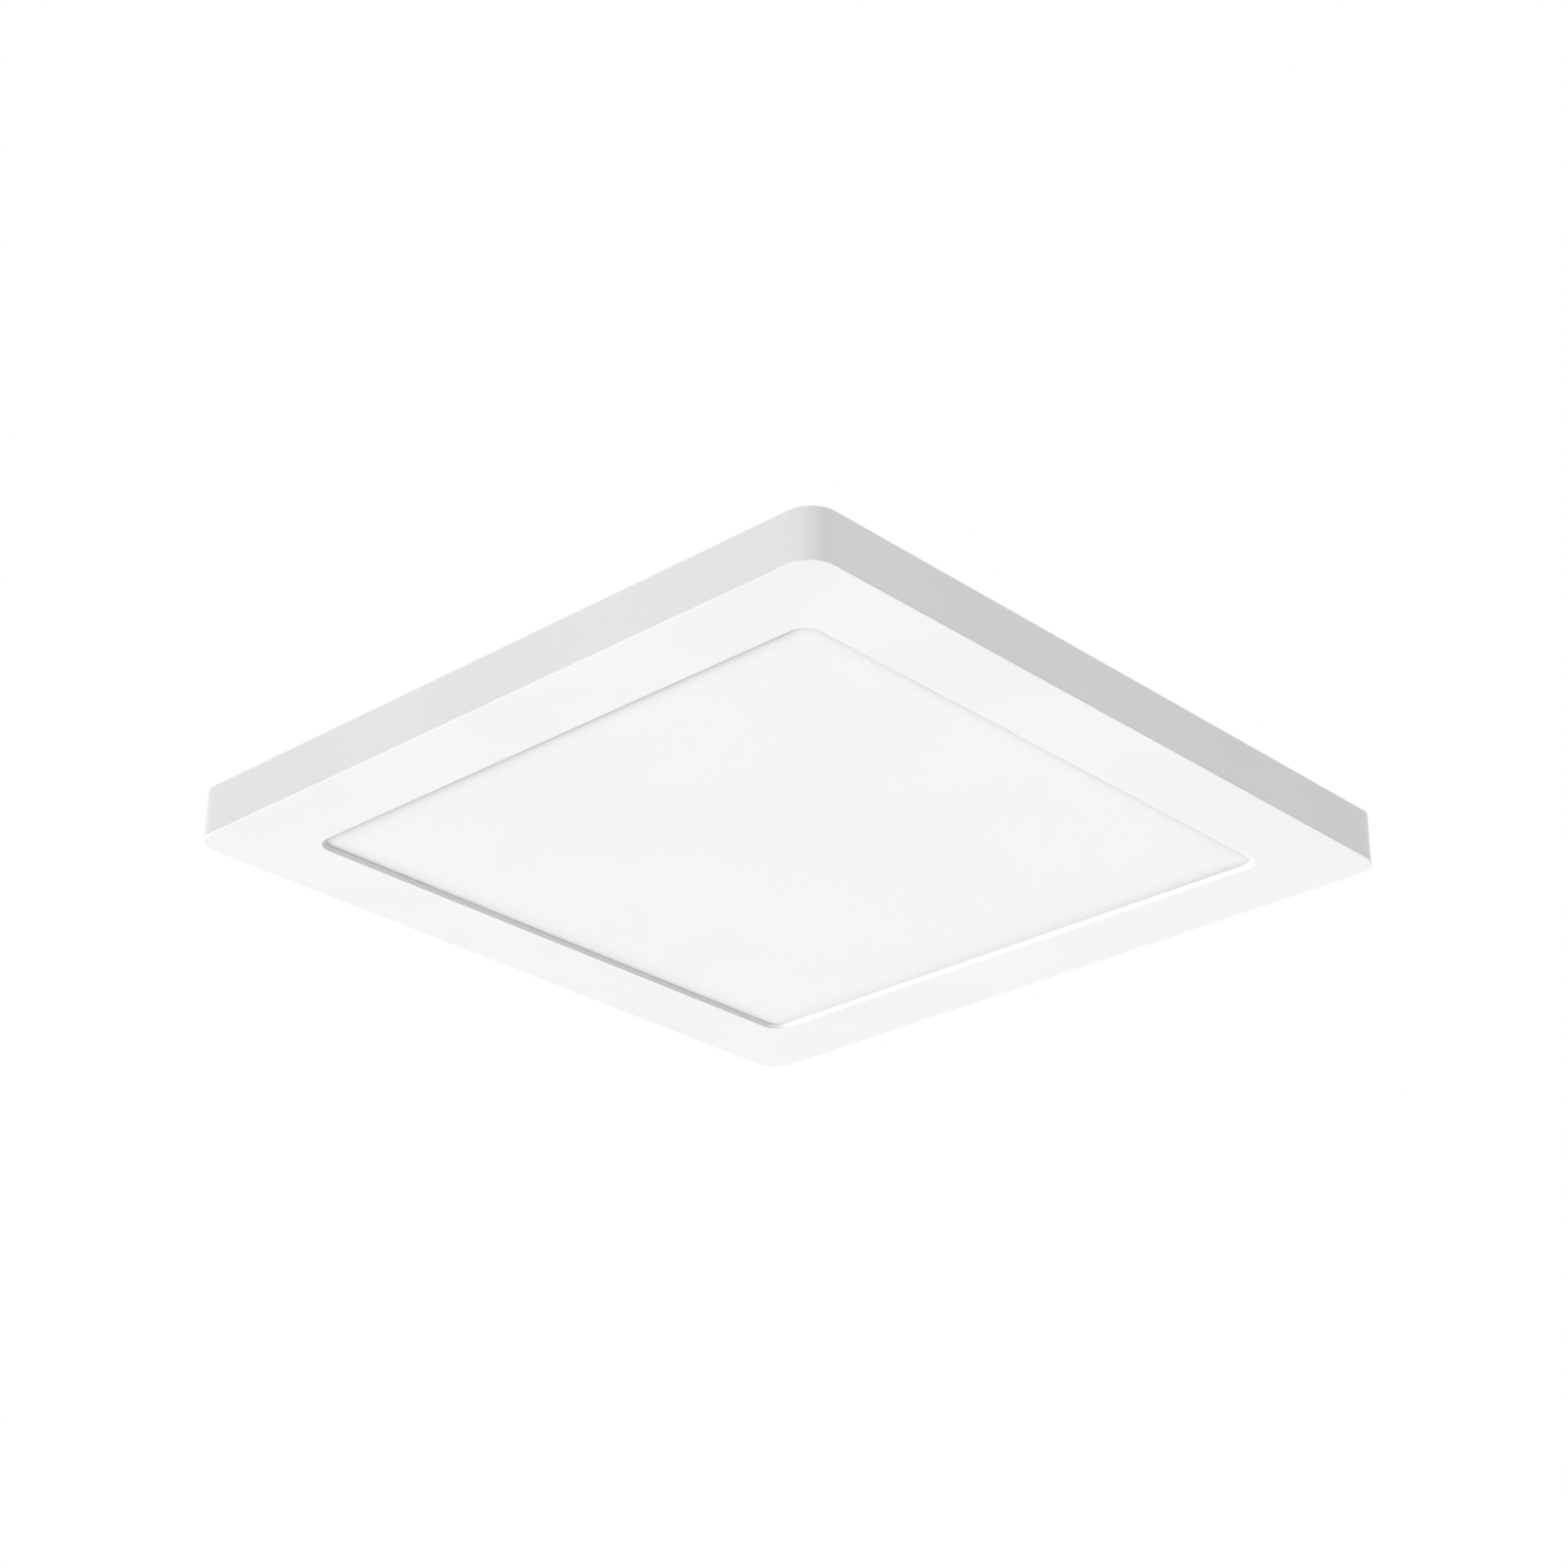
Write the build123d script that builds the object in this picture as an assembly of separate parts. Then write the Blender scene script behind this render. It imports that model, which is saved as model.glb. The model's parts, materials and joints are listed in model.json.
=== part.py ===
"""Square flush mount ceiling light, edge lit, hung from a twist-lock bracket.

Millimetres. Z = 0 is the ceiling and +Z points into it, so the light hangs below zero.
The vertical axis of the twist lock is the Z axis, and the front side faces -Y.
"""

import math
import os

from build123d import *

# ---------------------------------------------------------------- driving dimensions

# Frame
frame_side = 300.0
frame_height = 18.8
frame_corner_radius = 10.0
frame_edge_radius = 0.25
frame_wall = 1.6
rim_gap = 0.4
bezel_width = 30.4
bevel_width = 1.5
bevel_depth = 1.1
lip_land = 0.2
opening_corner_radius = 7.5
flange_thickness = 2.0

# Optical stack, from the lip upwards
diffuser_seat = 6.9
diffuser_thickness = 2.0
diffuser_play = 0.5
guide_thickness = 3.0
reflector_thickness = 0.3
foam_thickness = 3.0
foam_margin = 6.0
foam_corner_cut = 18.0
panel_corner_radius = 1.5

# Light strips, on edge round the guide plate
guide_gap = 0.3
led_depth = 0.7
led_width = 3.5
led_height = 2.8
led_pitch = 10.0
strip_thickness = 1.0
strip_stand = 1.6
strip_end_margin = 3.0
strip_floor_gap = 0.2
tape_thickness = 0.2
rail_thickness = 1.5
rail_end_margin = 1.0

# Frame's screw bosses, ribs and corner stops
boss_radius = 4.0
boss_floor = 1.6
rib_pitch = 31.0
rib_thickness = 1.2
rib_height = 4.0
stop_size = 2.0
stop_play = 0.5

# Steel back plate and its dome
plate_thickness = 0.8
plate_play = 0.3
plate_screw_radius = 1.5
plate_screw_head_radius = 3.2
plate_screw_head_height = 1.8
plate_screw_reach = 5.0
dome_margin = 14.5
dome_foot_width = 4.0
bead_width = 7.0
bead_height = 0.8
bead_length = 70.0
bead_start = 10.0

# Bracket on the ceiling box
bracket_radius = 60.5
bracket_thickness = 1.2
bracket_gap = 3.4
collar_gap = 1.0
box_screw_spacing = 88.9
box_slot_length = 10.0
box_slot_width = 4.6
ground_screw_angle = 308.0
ground_screw_radius = 2.0
ground_screw_head_radius = 4.0
ground_screw_head_height = 1.8
ground_screw_tip = 4.0
ground_screw_slot_width = 0.9
ground_screw_slot_depth = 0.8

# Twist lock
hook_count = 3
first_hook_angle = 90.0
hook_width = 10.0
hook_foot_length = 9.0
hook_foot_height = 1.4
hook_foot_play = 0.2
hook_release_play = 3.55
hook_slot_play = 1.1
hook_end_play = 0.8
relief_width = 1.2
relief_depth = 2.4

# Driver case
case_radius = 34.0
case_wall = 1.8
case_bracket_gap = 2.0
case_roof_gap = 1.3
case_edge_radius = 1.5
case_boss_radius = 3.0
case_boss_margin = 1.9
case_boss_angle = 35.0
case_screw_radius = 1.5
case_screw_head_radius = 2.8
case_screw_head_height = 1.6
case_screw_reach = 7.0
case_pilot_spare = 1.0
insulation_thickness = 0.4
insulation_play = 0.4
standoff_height = 3.0
board_thickness = 1.6
board_play = 0.8

# Components of the driver: sizes are length, width and height, and places are x and y
tall_component = 10.5
transformer_length = 13.0
transformer_width = 12.0
transformer_core_width = 6.6
transformer_leg = 2.6
transformer_place = (-13.5, -4.0)
bulk_capacitor_radius = 5.0
bulk_capacitor_length = 16.0
bulk_capacitor_place = (0.8, 6.0)
bulk_groove_radius = 0.6
bulk_groove_place = 2.0
choke_flange_radius = 4.5
choke_waist_radius = 4.0
choke_height = 9.5
choke_flange = 1.4
choke_place = (16.0, 6.0)
varistor_radius = 4.0
varistor_thickness = 4.0
varistor_place = (13.5, 18.5)
output_capacitor_radius = 4.0
output_capacitor_places = [(11.0, -8.0), (20.0, -5.0)]
fuse_radius = 4.2
fuse_height = 8.0
fuse_place = (-14.0, 19.0)
film_capacitor_length = 13.0
film_capacitor_width = 6.0
film_capacitor_place = (-16.0, 6.5)
bridge_size = (6.0, 6.0, 2.5)
bridge_place = (25.0, 3.5)
transistor_size = (6.0, 5.5, 2.3)
transistor_place = (-1.5, -5.0)
chip_size = (5.0, 4.0, 1.6)
chip_place = (12.5, -16.0)
output_connector_length = 7.0
output_connector_height = 6.0
selector_connector_length = 7.6
selector_connector_height = 5.0
connector_depth = 6.0
connector_gap = 0.7
connector_middle = -0.35
connector_y = -14.0

# Lead hole and leads
lead_hole_y = -23.5
lead_hole_length = 14.0
lead_hole_width = 3.2
grommet_wall = 0.9
grommet_flange = 1.0
grommet_flange_thickness = 0.8
led_lead_diameter = 1.3
led_lead_pitch = 1.8
led_lead_margin = 2.3
led_lead_run = 6.0
selector_lead_diameter = 1.0
selector_lead_pitch = 1.5
selector_pad_inset = 1.5
jumper_diameter = 0.9
jumper_reach = 4.0
jumper_first = 12.0
jumper_pitch = 3.5
soft_bend_share = 0.45
foam_channel_width = 7.0
foam_well_gap = 1.0
foam_board_gap = 0.6

# Whiteness selector on the back plate
selector_travel = 8.0
selector_board_length = 26.0
selector_board_width = 12.0
selector_board_thickness = 0.8
switch_length = 14.0
switch_width = 5.0
switch_wall = 0.5
knob_length = 3.0
knob_width = 2.4
knob_stand = 1.6
knob_base_extra = 0.7
knob_groove_width = 0.4
knob_groove_depth = 0.35
knob_groove_pitch = 0.9
selector_screw_spacing = 20.0
selector_screw_radius = 1.0
selector_screw_head_radius = 1.9
selector_screw_head_height = 1.2
spacer_wall = 1.1

# Terminal block
terminal_pitch = 5.0
terminal_length = 16.0
terminal_width = 9.0
terminal_y = 20.0
terminal_stand = 0.6
terminal_well = 3.0
terminal_well_depth = 9.0
contact_thickness = 0.6
contact_height = 6.0

# Cross recess of the screws, as shares of a head's radius and height
recess_length_share = 1.1
recess_width_share = 0.24
recess_depth_share = 0.6
head_fillet_share = 0.45

# Clearances
thread_gap = 0.05
hole_gap = 0.15
wire_gap = 0.05
part_gap = 0.1

# ---------------------------------------------------------------- levels along Z

rim_z = -rim_gap
face_z = rim_z - frame_height
flange_top_z = face_z + flange_thickness
diffuser_z = face_z + bevel_depth + lip_land
guide_z = diffuser_z + diffuser_thickness
reflector_z = guide_z + guide_thickness
foam_z = reflector_z + reflector_thickness
plate_z = foam_z + foam_thickness
plate_top_z = plate_z + plate_thickness
bracket_under_z = -bracket_thickness
dome_top_z = bracket_under_z - bracket_gap
dome_under_z = dome_top_z - plate_thickness
dome_rise = dome_top_z - plate_top_z
collar_z = dome_top_z + collar_gap
hook_foot_top_z = dome_under_z - hook_foot_play
hook_foot_z = hook_foot_top_z - hook_foot_height
insulation_top_z = dome_top_z + insulation_thickness
board_z = insulation_top_z + standoff_height
board_top_z = board_z + board_thickness
tallest = max(tall_component, choke_height, fuse_height, 2 * bulk_capacitor_radius, 2 * varistor_radius)
case_roof_z = board_top_z + tallest + case_roof_gap
case_top_z = case_roof_z + case_wall
selector_board_top_z = foam_z + selector_board_thickness

# ---------------------------------------------------------------- places in plan

wall_inside = frame_side / 2 - frame_wall
opening_side = frame_side - 2 * bezel_width
lip_side = opening_side - 2 * bevel_width
lip_corner_radius = opening_corner_radius - bevel_width
panel_side = lip_side + 2 * diffuser_seat
panel_edge = panel_side / 2
led_face = panel_edge + guide_gap
strip_face = led_face + led_depth
tape_face = strip_face + strip_thickness
rail_face = tape_face + tape_thickness
rail_back = rail_face + rail_thickness
strip_length = panel_side - 2 * strip_end_margin
strip_z = flange_top_z + strip_floor_gap
strip_top_z = foam_z + strip_stand
boss_line = (rail_back + wall_inside) / 2
side_boss_offset = 1.5 * rib_pitch
plate_side = 2 * (wall_inside - plate_play)
plate_corner_radius = frame_corner_radius - frame_wall - plate_play
foam_side = panel_side - 2 * foam_margin
dome_top_radius = bracket_radius + dome_margin
dome_foot_radius = dome_top_radius + dome_foot_width
hook_radius = bracket_radius - bracket_thickness / 2
release_angle = math.degrees((hook_foot_length + hook_release_play) / hook_radius)
case_inside = case_radius - case_wall
board_radius = case_inside - board_play
case_boss_place = board_radius - case_boss_radius - case_boss_margin
bracket_hole_radius = case_radius + case_bracket_gap
collar_radius = bracket_hole_radius + bracket_thickness
ground_screw_place = (collar_radius + bracket_radius) / 2
selector_y = -(dome_foot_radius + panel_edge) / 2
selector_board_top_y = selector_y + selector_board_width / 2
output_connector_x = connector_middle + (connector_gap + output_connector_length) / 2
selector_connector_x = connector_middle - (connector_gap + selector_connector_length) / 2
connector_face_y = connector_y - connector_depth / 2
selector_pad_y = selector_board_top_y - selector_pad_inset
led_pad_x = selector_board_length / 2 + foam_board_gap + foam_channel_width / 2 + led_lead_margin
led_lead_level = foam_z + led_lead_diameter / 2 + wire_gap
selector_lead_level = selector_board_top_z + selector_lead_diameter / 2 + wire_gap
switch_top_z = plate_z - part_gap
board_hole_radius = case_screw_radius + hole_gap

SIDES = {"front": 0, "right": 90, "rear": 180, "left": 270}


# ---------------------------------------------------------------- helpers


def block(length, width, low_z, high_z, x=0.0, y=0.0):
    """Upright box, centred on x and y, between two levels."""
    return Pos(x, y, (low_z + high_z) / 2) * Box(length, width, high_z - low_z)


def disc(radius, low_z, high_z, x=0.0, y=0.0):
    """Upright cylinder, centred on x and y, between two levels."""
    return Pos(x, y, (low_z + high_z) / 2) * Cylinder(radius, high_z - low_z)


def raised(sketch, low_z, high_z):
    """Flat outline drawn at Z = 0, made solid between two levels."""
    return extrude(Pos(0, 0, low_z) * sketch, high_z - low_z)


def square(side, corner_radius, low_z, high_z):
    """Square slab with round corners between two levels."""
    return raised(RectangleRounded(side, side, corner_radius), low_z, high_z)


def ring_sector(inner, outer, start, end, low_z, high_z):
    """Part of a flat ring between two radii, two angles in degrees and two levels."""
    inside = CenterArc((0, 0), inner, start, end - start)
    outside = CenterArc((0, 0), outer, start, end - start)
    outline = [inside, outside, Line(inside @ 0, outside @ 0), Line(inside @ 1, outside @ 1)]
    return raised(make_face(outline), low_z, high_z)


def around(place_list, make_one):
    """One copy of a solid at each (x, y) place."""
    return [Pos(x, y, 0) * make_one for x, y in place_list]


def polar(radius, angle):
    """Point in plan at a radius and an angle in degrees."""
    return (radius * math.cos(math.radians(angle)), radius * math.sin(math.radians(angle)))


def turned(shape, angle):
    """Shape turned about the vertical axis."""
    return Rot(0, 0, angle) * shape


def pan_head_screw(radius, head_radius, head_height, seat_z, tip_z):
    """Screw with a cross recess; its head is on the side of the seat away from its tip."""
    points_down = tip_z < seat_z
    head_end_z = seat_z + head_height if points_down else seat_z - head_height
    head = disc(head_radius, min(seat_z, head_end_z), max(seat_z, head_end_z))
    outer_face = head.faces().sort_by(Axis.Z)[-1 if points_down else 0]
    head = fillet(outer_face.edges(), head_fillet_share * head_height)
    depth = recess_depth_share * head_height
    floor_z = head_end_z - depth if points_down else head_end_z + depth
    arm_length = recess_length_share * head_radius
    arm_width = recess_width_share * head_radius
    arm = block(arm_length, arm_width, min(floor_z, head_end_z), max(floor_z, head_end_z))
    head -= arm + turned(arm, 90)
    return head + disc(radius, min(seat_z, tip_z), max(seat_z, tip_z))


def bend_radii(points):
    """Largest soft radius for each corner of a route."""
    radii = []
    for before, corner, after in zip(points, points[1:], points[2:]):
        run_in = Vector(*corner) - Vector(*before)
        run_out = Vector(*after) - Vector(*corner)
        half_turn = math.radians(run_in.get_angle(run_out) / 2)
        shorter = min(run_in.length, run_out.length)
        radii.append(soft_bend_share * shorter / math.tan(half_turn))
    return radii


def wire_along(points, diameter, label):
    """Round wire of straight runs joined by arcs, with its radii and volume printed."""
    radii = bend_radii(points)
    route = FilletPolyline(*points, radius=radii)
    section = Plane(origin=route @ 0, z_dir=route % 0) * Circle(diameter / 2)
    wire = sweep(section, path=route)
    expected = math.pi * diameter**2 / 4 * route.length
    print(label, "radii", [round(r, 1) for r in radii], "length", round(route.length, 1),
          "volume ratio", round(wire.volume / expected, 4))
    return wire


def save(name, pieces):
    """Write one node: a single solid, or a group of separate solids."""
    solids = pieces if isinstance(pieces, list) else [pieces]
    solids = [solid for piece in solids for solid in piece.solids()]
    shape = solids[0] if len(solids) == 1 else Compound(children=solids)
    shape.label = name
    export_step(shape, f"parts/{name}.step")


# ---------------------------------------------------------------- frame and panels


def boss_places():
    """Centres of the back plate's screws: four corners and two on each side."""
    corners = [(sx * boss_line, sy * boss_line) for sx in (-1, 1) for sy in (-1, 1)]
    along = (-side_boss_offset, side_boss_offset)
    on_sides = [(offset, sy * boss_line) for sy in (-1, 1) for offset in along]
    on_ends = [(sx * boss_line, offset) for sx in (-1, 1) for offset in along]
    return corners + on_sides + on_ends


def frame_side_details():
    """Rail and ribs of the frame's front side; the other sides are turned copies."""
    rail_length = strip_length + 2 * rail_end_margin
    rail = block(rail_length, rail_thickness, flange_top_z, plate_z, 0, -(rail_face + rail_back) / 2)
    rib_count = round(rail_length / 2 / rib_pitch)
    details = [rail]
    for index in range(-rib_count, rib_count):
        x = (index + 0.5) * rib_pitch
        rib_span = wall_inside - rail_back
        rib_y = -(wall_inside + rail_back) / 2
        details.append(block(rib_thickness, rib_span, flange_top_z, flange_top_z + rib_height, x, rib_y))
    return details


def corner_stops():
    """Posts that keep the guide plate in place, two at each corner."""
    near = panel_edge + stop_play + stop_size / 2
    along = panel_edge - stop_size / 2
    places = []
    for sx in (-1, 1):
        for sy in (-1, 1):
            places += [(sx * near, sy * along), (sx * along, sy * near)]
    post = block(stop_size, stop_size, flange_top_z, reflector_z)
    return around(places, post)


def make_bezel_frame():
    """White frame: walls, bezel, bevel, lip, rails, bosses, ribs and stops in one casting."""
    body = square(frame_side, frame_corner_radius, face_z, rim_z)
    body = fillet(body.faces().sort_by(Axis.Z)[0].edges(), frame_edge_radius)
    inner_radius = frame_corner_radius - frame_wall
    body -= square(2 * wall_inside, inner_radius, flange_top_z, rim_z)
    pocket_side = panel_side + 2 * diffuser_play
    body -= square(pocket_side, panel_corner_radius + diffuser_play, diffuser_z, flange_top_z)
    body -= square(lip_side, lip_corner_radius, face_z, diffuser_z)
    wide = Pos(0, 0, face_z) * RectangleRounded(opening_side, opening_side, opening_corner_radius)
    narrow = Pos(0, 0, face_z + bevel_depth) * RectangleRounded(lip_side, lip_side, lip_corner_radius)
    body -= loft([wide, narrow], ruled=True)
    for angle in SIDES.values():
        for detail in frame_side_details():
            body += turned(detail, angle)
    for post in corner_stops():
        body += post
    for boss in around(boss_places(), disc(boss_radius, flange_top_z, plate_z)):
        body += boss
    pilot = disc(plate_screw_radius + thread_gap, flange_top_z + boss_floor, plate_z)
    for hole in around(boss_places(), pilot):
        body -= hole
    return body


def make_panels():
    """Diffuser, guide plate and reflector: one size, stacked on the lip."""
    return {
        "diffuser_panel": square(panel_side, panel_corner_radius, diffuser_z, guide_z),
        "light_guide_plate": square(panel_side, panel_corner_radius, guide_z, reflector_z),
        "reflector_sheet": square(panel_side, panel_corner_radius, reflector_z, foam_z),
    }


# ---------------------------------------------------------------- light strips


def make_strips():
    """Circuit strips, their chips and the tapes, one of each on every side."""
    led_count = int((strip_length - led_width) / led_pitch)
    first_x = -led_pitch * (led_count - 1) / 2
    led_z = (guide_z + reflector_z - led_height) / 2
    strip = block(strip_length, strip_thickness, strip_z, strip_top_z,
                  0, -(strip_face + tape_face) / 2)
    tape = block(strip_length, tape_thickness, strip_z, strip_top_z,
                 0, -(tape_face + rail_face) / 2)
    chips = [
        block(led_width, led_depth, led_z, led_z + led_height,
              first_x + index * led_pitch, -(led_face + strip_face) / 2)
        for index in range(led_count)
    ]
    nodes = {}
    for side, angle in SIDES.items():
        nodes[f"led_strip_{side}"] = turned(strip, angle)
        nodes[f"led_chips_{side}"] = [turned(chip, angle) for chip in chips]
    nodes["thermal_tape"] = [turned(tape, angle) for angle in SIDES.values()]
    return nodes


def make_strip_jumpers():
    """Wire pairs that join neighbouring strips at the three corners away from the leads."""
    level = foam_z + jumper_diameter / 2 + wire_gap
    wires = []
    for index in range(2):
        along = panel_edge - jumper_first - index * jumper_pitch
        near = strip_face - jumper_reach
        points = [
            (strip_face, along, level),
            (near, along, level),
            (along, near, level),
            (along, strip_face, level),
        ]
        wire = wire_along(points, jumper_diameter, f"strip jumper {index + 1}")
        wires += [turned(wire, angle) for angle in (0, 90, 180)]
    return wires


# ---------------------------------------------------------------- back plate


def hook_angles():
    """Angles of the bracket's hooks."""
    return [first_hook_angle + 360 / hook_count * index for index in range(hook_count)]


def arc_angle(length):
    """Angle in degrees that a length takes up at the hooks' radius."""
    return math.degrees(length / hook_radius)


def case_boss_places():
    """Centres of the four screws that hold the driver case."""
    angles = [case_boss_angle, 180 - case_boss_angle, 180 + case_boss_angle, -case_boss_angle]
    return [polar(case_boss_place, angle) for angle in angles]


def selector_screw_places():
    """Centres of the selector board's two screws."""
    return [(side * selector_screw_spacing / 2, selector_y) for side in (-1, 1)]


def bead(low_z, width, length, angle):
    """One stiffening bead, pointing outwards from the dome's foot."""
    middle = dome_foot_radius + bead_start + bead_length / 2
    outline = Pos(middle, 0) * SlotOverall(length, width)
    return turned(raised(outline, low_z, low_z + bead_height), angle)


def make_back_plate():
    """Pressed steel plate with the dome that carries the driver and takes the hooks."""
    plate = square(plate_side, plate_corner_radius, plate_z, plate_top_z)
    dome = Pos(0, 0, plate_top_z + dome_rise / 2) * Cone(dome_foot_radius, dome_top_radius, dome_rise)
    plate += dome
    plate -= Pos(0, 0, -plate_thickness) * dome
    for corner in range(4):
        angle = 45 + 90 * corner
        plate += bead(plate_top_z, bead_width, bead_length, angle)
        inside_width = bead_width - 2 * plate_thickness
        inside_length = bead_length - 2 * plate_thickness
        plate -= bead(plate_z, inside_width, inside_length, angle)
    half = arc_angle(hook_width / 2)
    end_play = arc_angle(hook_end_play)
    slot_inner = hook_radius - bracket_thickness / 2 - hook_slot_play
    slot_outer = hook_radius + bracket_thickness / 2 + hook_slot_play
    for angle in hook_angles():
        start = angle - half - end_play
        end = angle + half + end_play + release_angle
        plate -= ring_sector(slot_inner, slot_outer, start, end, dome_under_z, dome_top_z)
    plate_hole = disc(plate_screw_radius + hole_gap, plate_z, plate_top_z)
    for hole in around(boss_places(), plate_hole):
        plate -= hole
    case_hole = disc(board_hole_radius, dome_under_z, dome_top_z)
    for hole in around(case_boss_places(), case_hole):
        plate -= hole
    selector_hole = disc(selector_screw_radius + hole_gap, plate_z, plate_top_z)
    for hole in around(selector_screw_places(), selector_hole):
        plate -= hole
    plate -= lead_slot(grommet_wall + wire_gap, dome_under_z, dome_top_z)
    slot_length = selector_travel + knob_length + 2 * hole_gap
    slot_width = knob_width + 2 * hole_gap
    plate -= block(slot_length, slot_width, plate_z, plate_top_z, 0, selector_y)
    return plate


def make_back_plate_screws():
    """Pan head screws into the frame's bosses."""
    tip_z = plate_z - plate_screw_reach
    screw = pan_head_screw(
        plate_screw_radius, plate_screw_head_radius, plate_screw_head_height, plate_top_z, tip_z)
    return around(boss_places(), screw)


# ---------------------------------------------------------------- foam and leads


def channel(points, width):
    """Outline of a channel of one width through a row of points in plan."""
    outline = None
    for start, end in zip(points, points[1:]):
        run = Vector(*end) - Vector(*start)
        middle = (Vector(*end) + Vector(*start)) * 0.5
        angle = math.degrees(math.atan2(run.Y, run.X))
        slot = Pos(middle.X, middle.Y) * Rot(0, 0, angle) * SlotCenterToCenter(run.length, width)
        outline = slot if outline is None else outline + slot
    return outline


def lead_slot(extra, low_z, high_z):
    """Round-ended hole for the leads, larger than the grommet's bore by a margin."""
    outline = SlotOverall(lead_hole_length + 2 * extra, lead_hole_width + 2 * extra)
    return raised(Pos(0, lead_hole_y) * outline, low_z, high_z)


def between(start, end, share):
    """Value at a share of the way from start to end."""
    return start + (end - start) * share


def led_lead_plan(shift):
    """Places in plan of one lead: past the selector to the front strip, square to it."""
    start_x = output_connector_x + shift
    end_x = led_pad_x + shift
    beside_y = selector_board_top_y + led_lead_run
    return [
        (start_x, lead_hole_y),
        (between(start_x, end_x, 0.34), between(lead_hole_y, beside_y, 0.53)),
        (between(start_x, end_x, 0.88), beside_y),
        (end_x, between(beside_y, -strip_face, 0.58)),
        (end_x, -strip_face),
    ]


def selector_lead_plan(shift):
    """Places in plan of one selector wire to its board."""
    start_x = selector_connector_x + shift
    return [
        (start_x, lead_hole_y),
        (between(start_x, shift, 0.2), between(lead_hole_y, selector_pad_y, 0.34)),
        (between(start_x, shift, 0.84), between(lead_hole_y, selector_pad_y, 0.71)),
        (shift, selector_pad_y),
    ]


def lead_route(plan, start_z, level):
    """Route of a wire: out of its connector, down through the lead hole, along the plan."""
    hole_x = plan[0][0]
    start = (hole_x, connector_face_y, start_z)
    over_hole = (hole_x, lead_hole_y, start_z)
    return [start, over_hole] + [(x, y, level) for x, y in plan]


def make_leads():
    """Two leads to the front strip, and the three wires of the selector."""
    start_z = board_top_z + output_connector_height / 2
    nodes = {}
    for name, side in (("positive", -1), ("negative", 1)):
        plan = led_lead_plan(side * led_lead_pitch / 2)
        route = lead_route(plan, start_z, led_lead_level)
        nodes[f"led_lead_{name}"] = wire_along(route, led_lead_diameter, f"{name} lead")
    start_z = board_top_z + selector_connector_height / 2
    wires = []
    for index in (-1, 0, 1):
        plan = selector_lead_plan(index * selector_lead_pitch)
        route = lead_route(plan, start_z, selector_lead_level)
        wires.append(wire_along(route, selector_lead_diameter, f"selector wire {index + 2}"))
    nodes["selector_lead"] = wires
    return nodes


def make_foam_pad():
    """Foam between reflector and back plate, cut out for the leads and the selector."""
    half = foam_side / 2
    cut = foam_corner_cut
    corners = [(half, half - cut), (half - cut, half), (cut - half, half), (-half, half - cut),
               (-half, cut - half), (cut - half, -half), (half - cut, -half), (half, cut - half)]
    outline = make_face(Polyline(*corners, close=True))
    outline -= channel(led_lead_plan(0), foam_channel_width)
    outline -= channel(selector_lead_plan(0), foam_channel_width)
    well_margin = grommet_wall + grommet_flange + foam_well_gap
    outline -= Pos(0, lead_hole_y) * SlotOverall(
        lead_hole_length + 2 * well_margin, lead_hole_width + 2 * well_margin)
    board_length = selector_board_length + 2 * foam_board_gap
    board_width = selector_board_width + 2 * foam_board_gap
    outline -= Pos(0, selector_y) * Rectangle(board_length, board_width)
    return raised(outline, foam_z, plate_z)


def make_lead_grommet():
    """Rubber grommet that lines the lead hole of the dome."""
    grommet = lead_slot(grommet_wall, dome_under_z, dome_top_z)
    flange_extra = grommet_wall + grommet_flange
    grommet += lead_slot(flange_extra, dome_under_z - grommet_flange_thickness, dome_under_z)
    grommet += lead_slot(flange_extra, dome_top_z, dome_top_z + grommet_flange_thickness)
    bore = lead_slot(0, dome_under_z - grommet_flange_thickness, dome_top_z + grommet_flange_thickness)
    return grommet - bore


# ---------------------------------------------------------------- driver


def make_driver_case():
    """Round plastic cover of the driver, open towards the dome."""
    case = disc(case_radius, dome_top_z, case_top_z)
    case = fillet(case.faces().sort_by(Axis.Z)[-1].edges(), case_edge_radius)
    case -= disc(case_inside, dome_top_z, case_roof_z)
    for boss in around(case_boss_places(), disc(case_boss_radius, board_top_z, case_roof_z)):
        case += boss
    pilot_top_z = board_top_z + case_screw_reach + case_pilot_spare
    pilot = disc(case_screw_radius + thread_gap, board_top_z, pilot_top_z)
    for hole in around(case_boss_places(), pilot):
        case -= hole
    window_length = terminal_length + 2 * part_gap
    window_width = terminal_width + 2 * part_gap
    case -= block(window_length, window_width, case_roof_z, case_top_z, 0, terminal_y)
    return case


def make_driver_case_screws():
    """Screws from below the dome, through board and standoffs, into the case."""
    tip_z = board_top_z + case_screw_reach
    screw = pan_head_screw(
        case_screw_radius, case_screw_head_radius, case_screw_head_height, dome_under_z, tip_z)
    return around(case_boss_places(), screw)


def make_driver_board():
    """Round circuit board with a slot for the leads."""
    board = disc(board_radius, board_z, board_top_z)
    board -= lead_slot(grommet_wall, board_z, board_top_z)
    for hole in around(case_boss_places(), disc(board_hole_radius, board_z, board_top_z)):
        board -= hole
    return board


def make_board_standoffs():
    """Nylon tubes that hold the board off the dome."""
    tube = disc(case_boss_radius, insulation_top_z, board_z)
    tube -= disc(board_hole_radius, insulation_top_z, board_z)
    return around(case_boss_places(), tube)


def make_insulation_sheet():
    """Thin sheet between the board's solder side and the steel dome."""
    sheet = disc(case_inside - insulation_play, dome_top_z, insulation_top_z)
    sheet -= lead_slot(grommet_wall + grommet_flange + insulation_play, dome_top_z, insulation_top_z)
    for hole in around(case_boss_places(), disc(board_hole_radius, dome_top_z, insulation_top_z)):
        sheet -= hole
    return sheet


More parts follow.
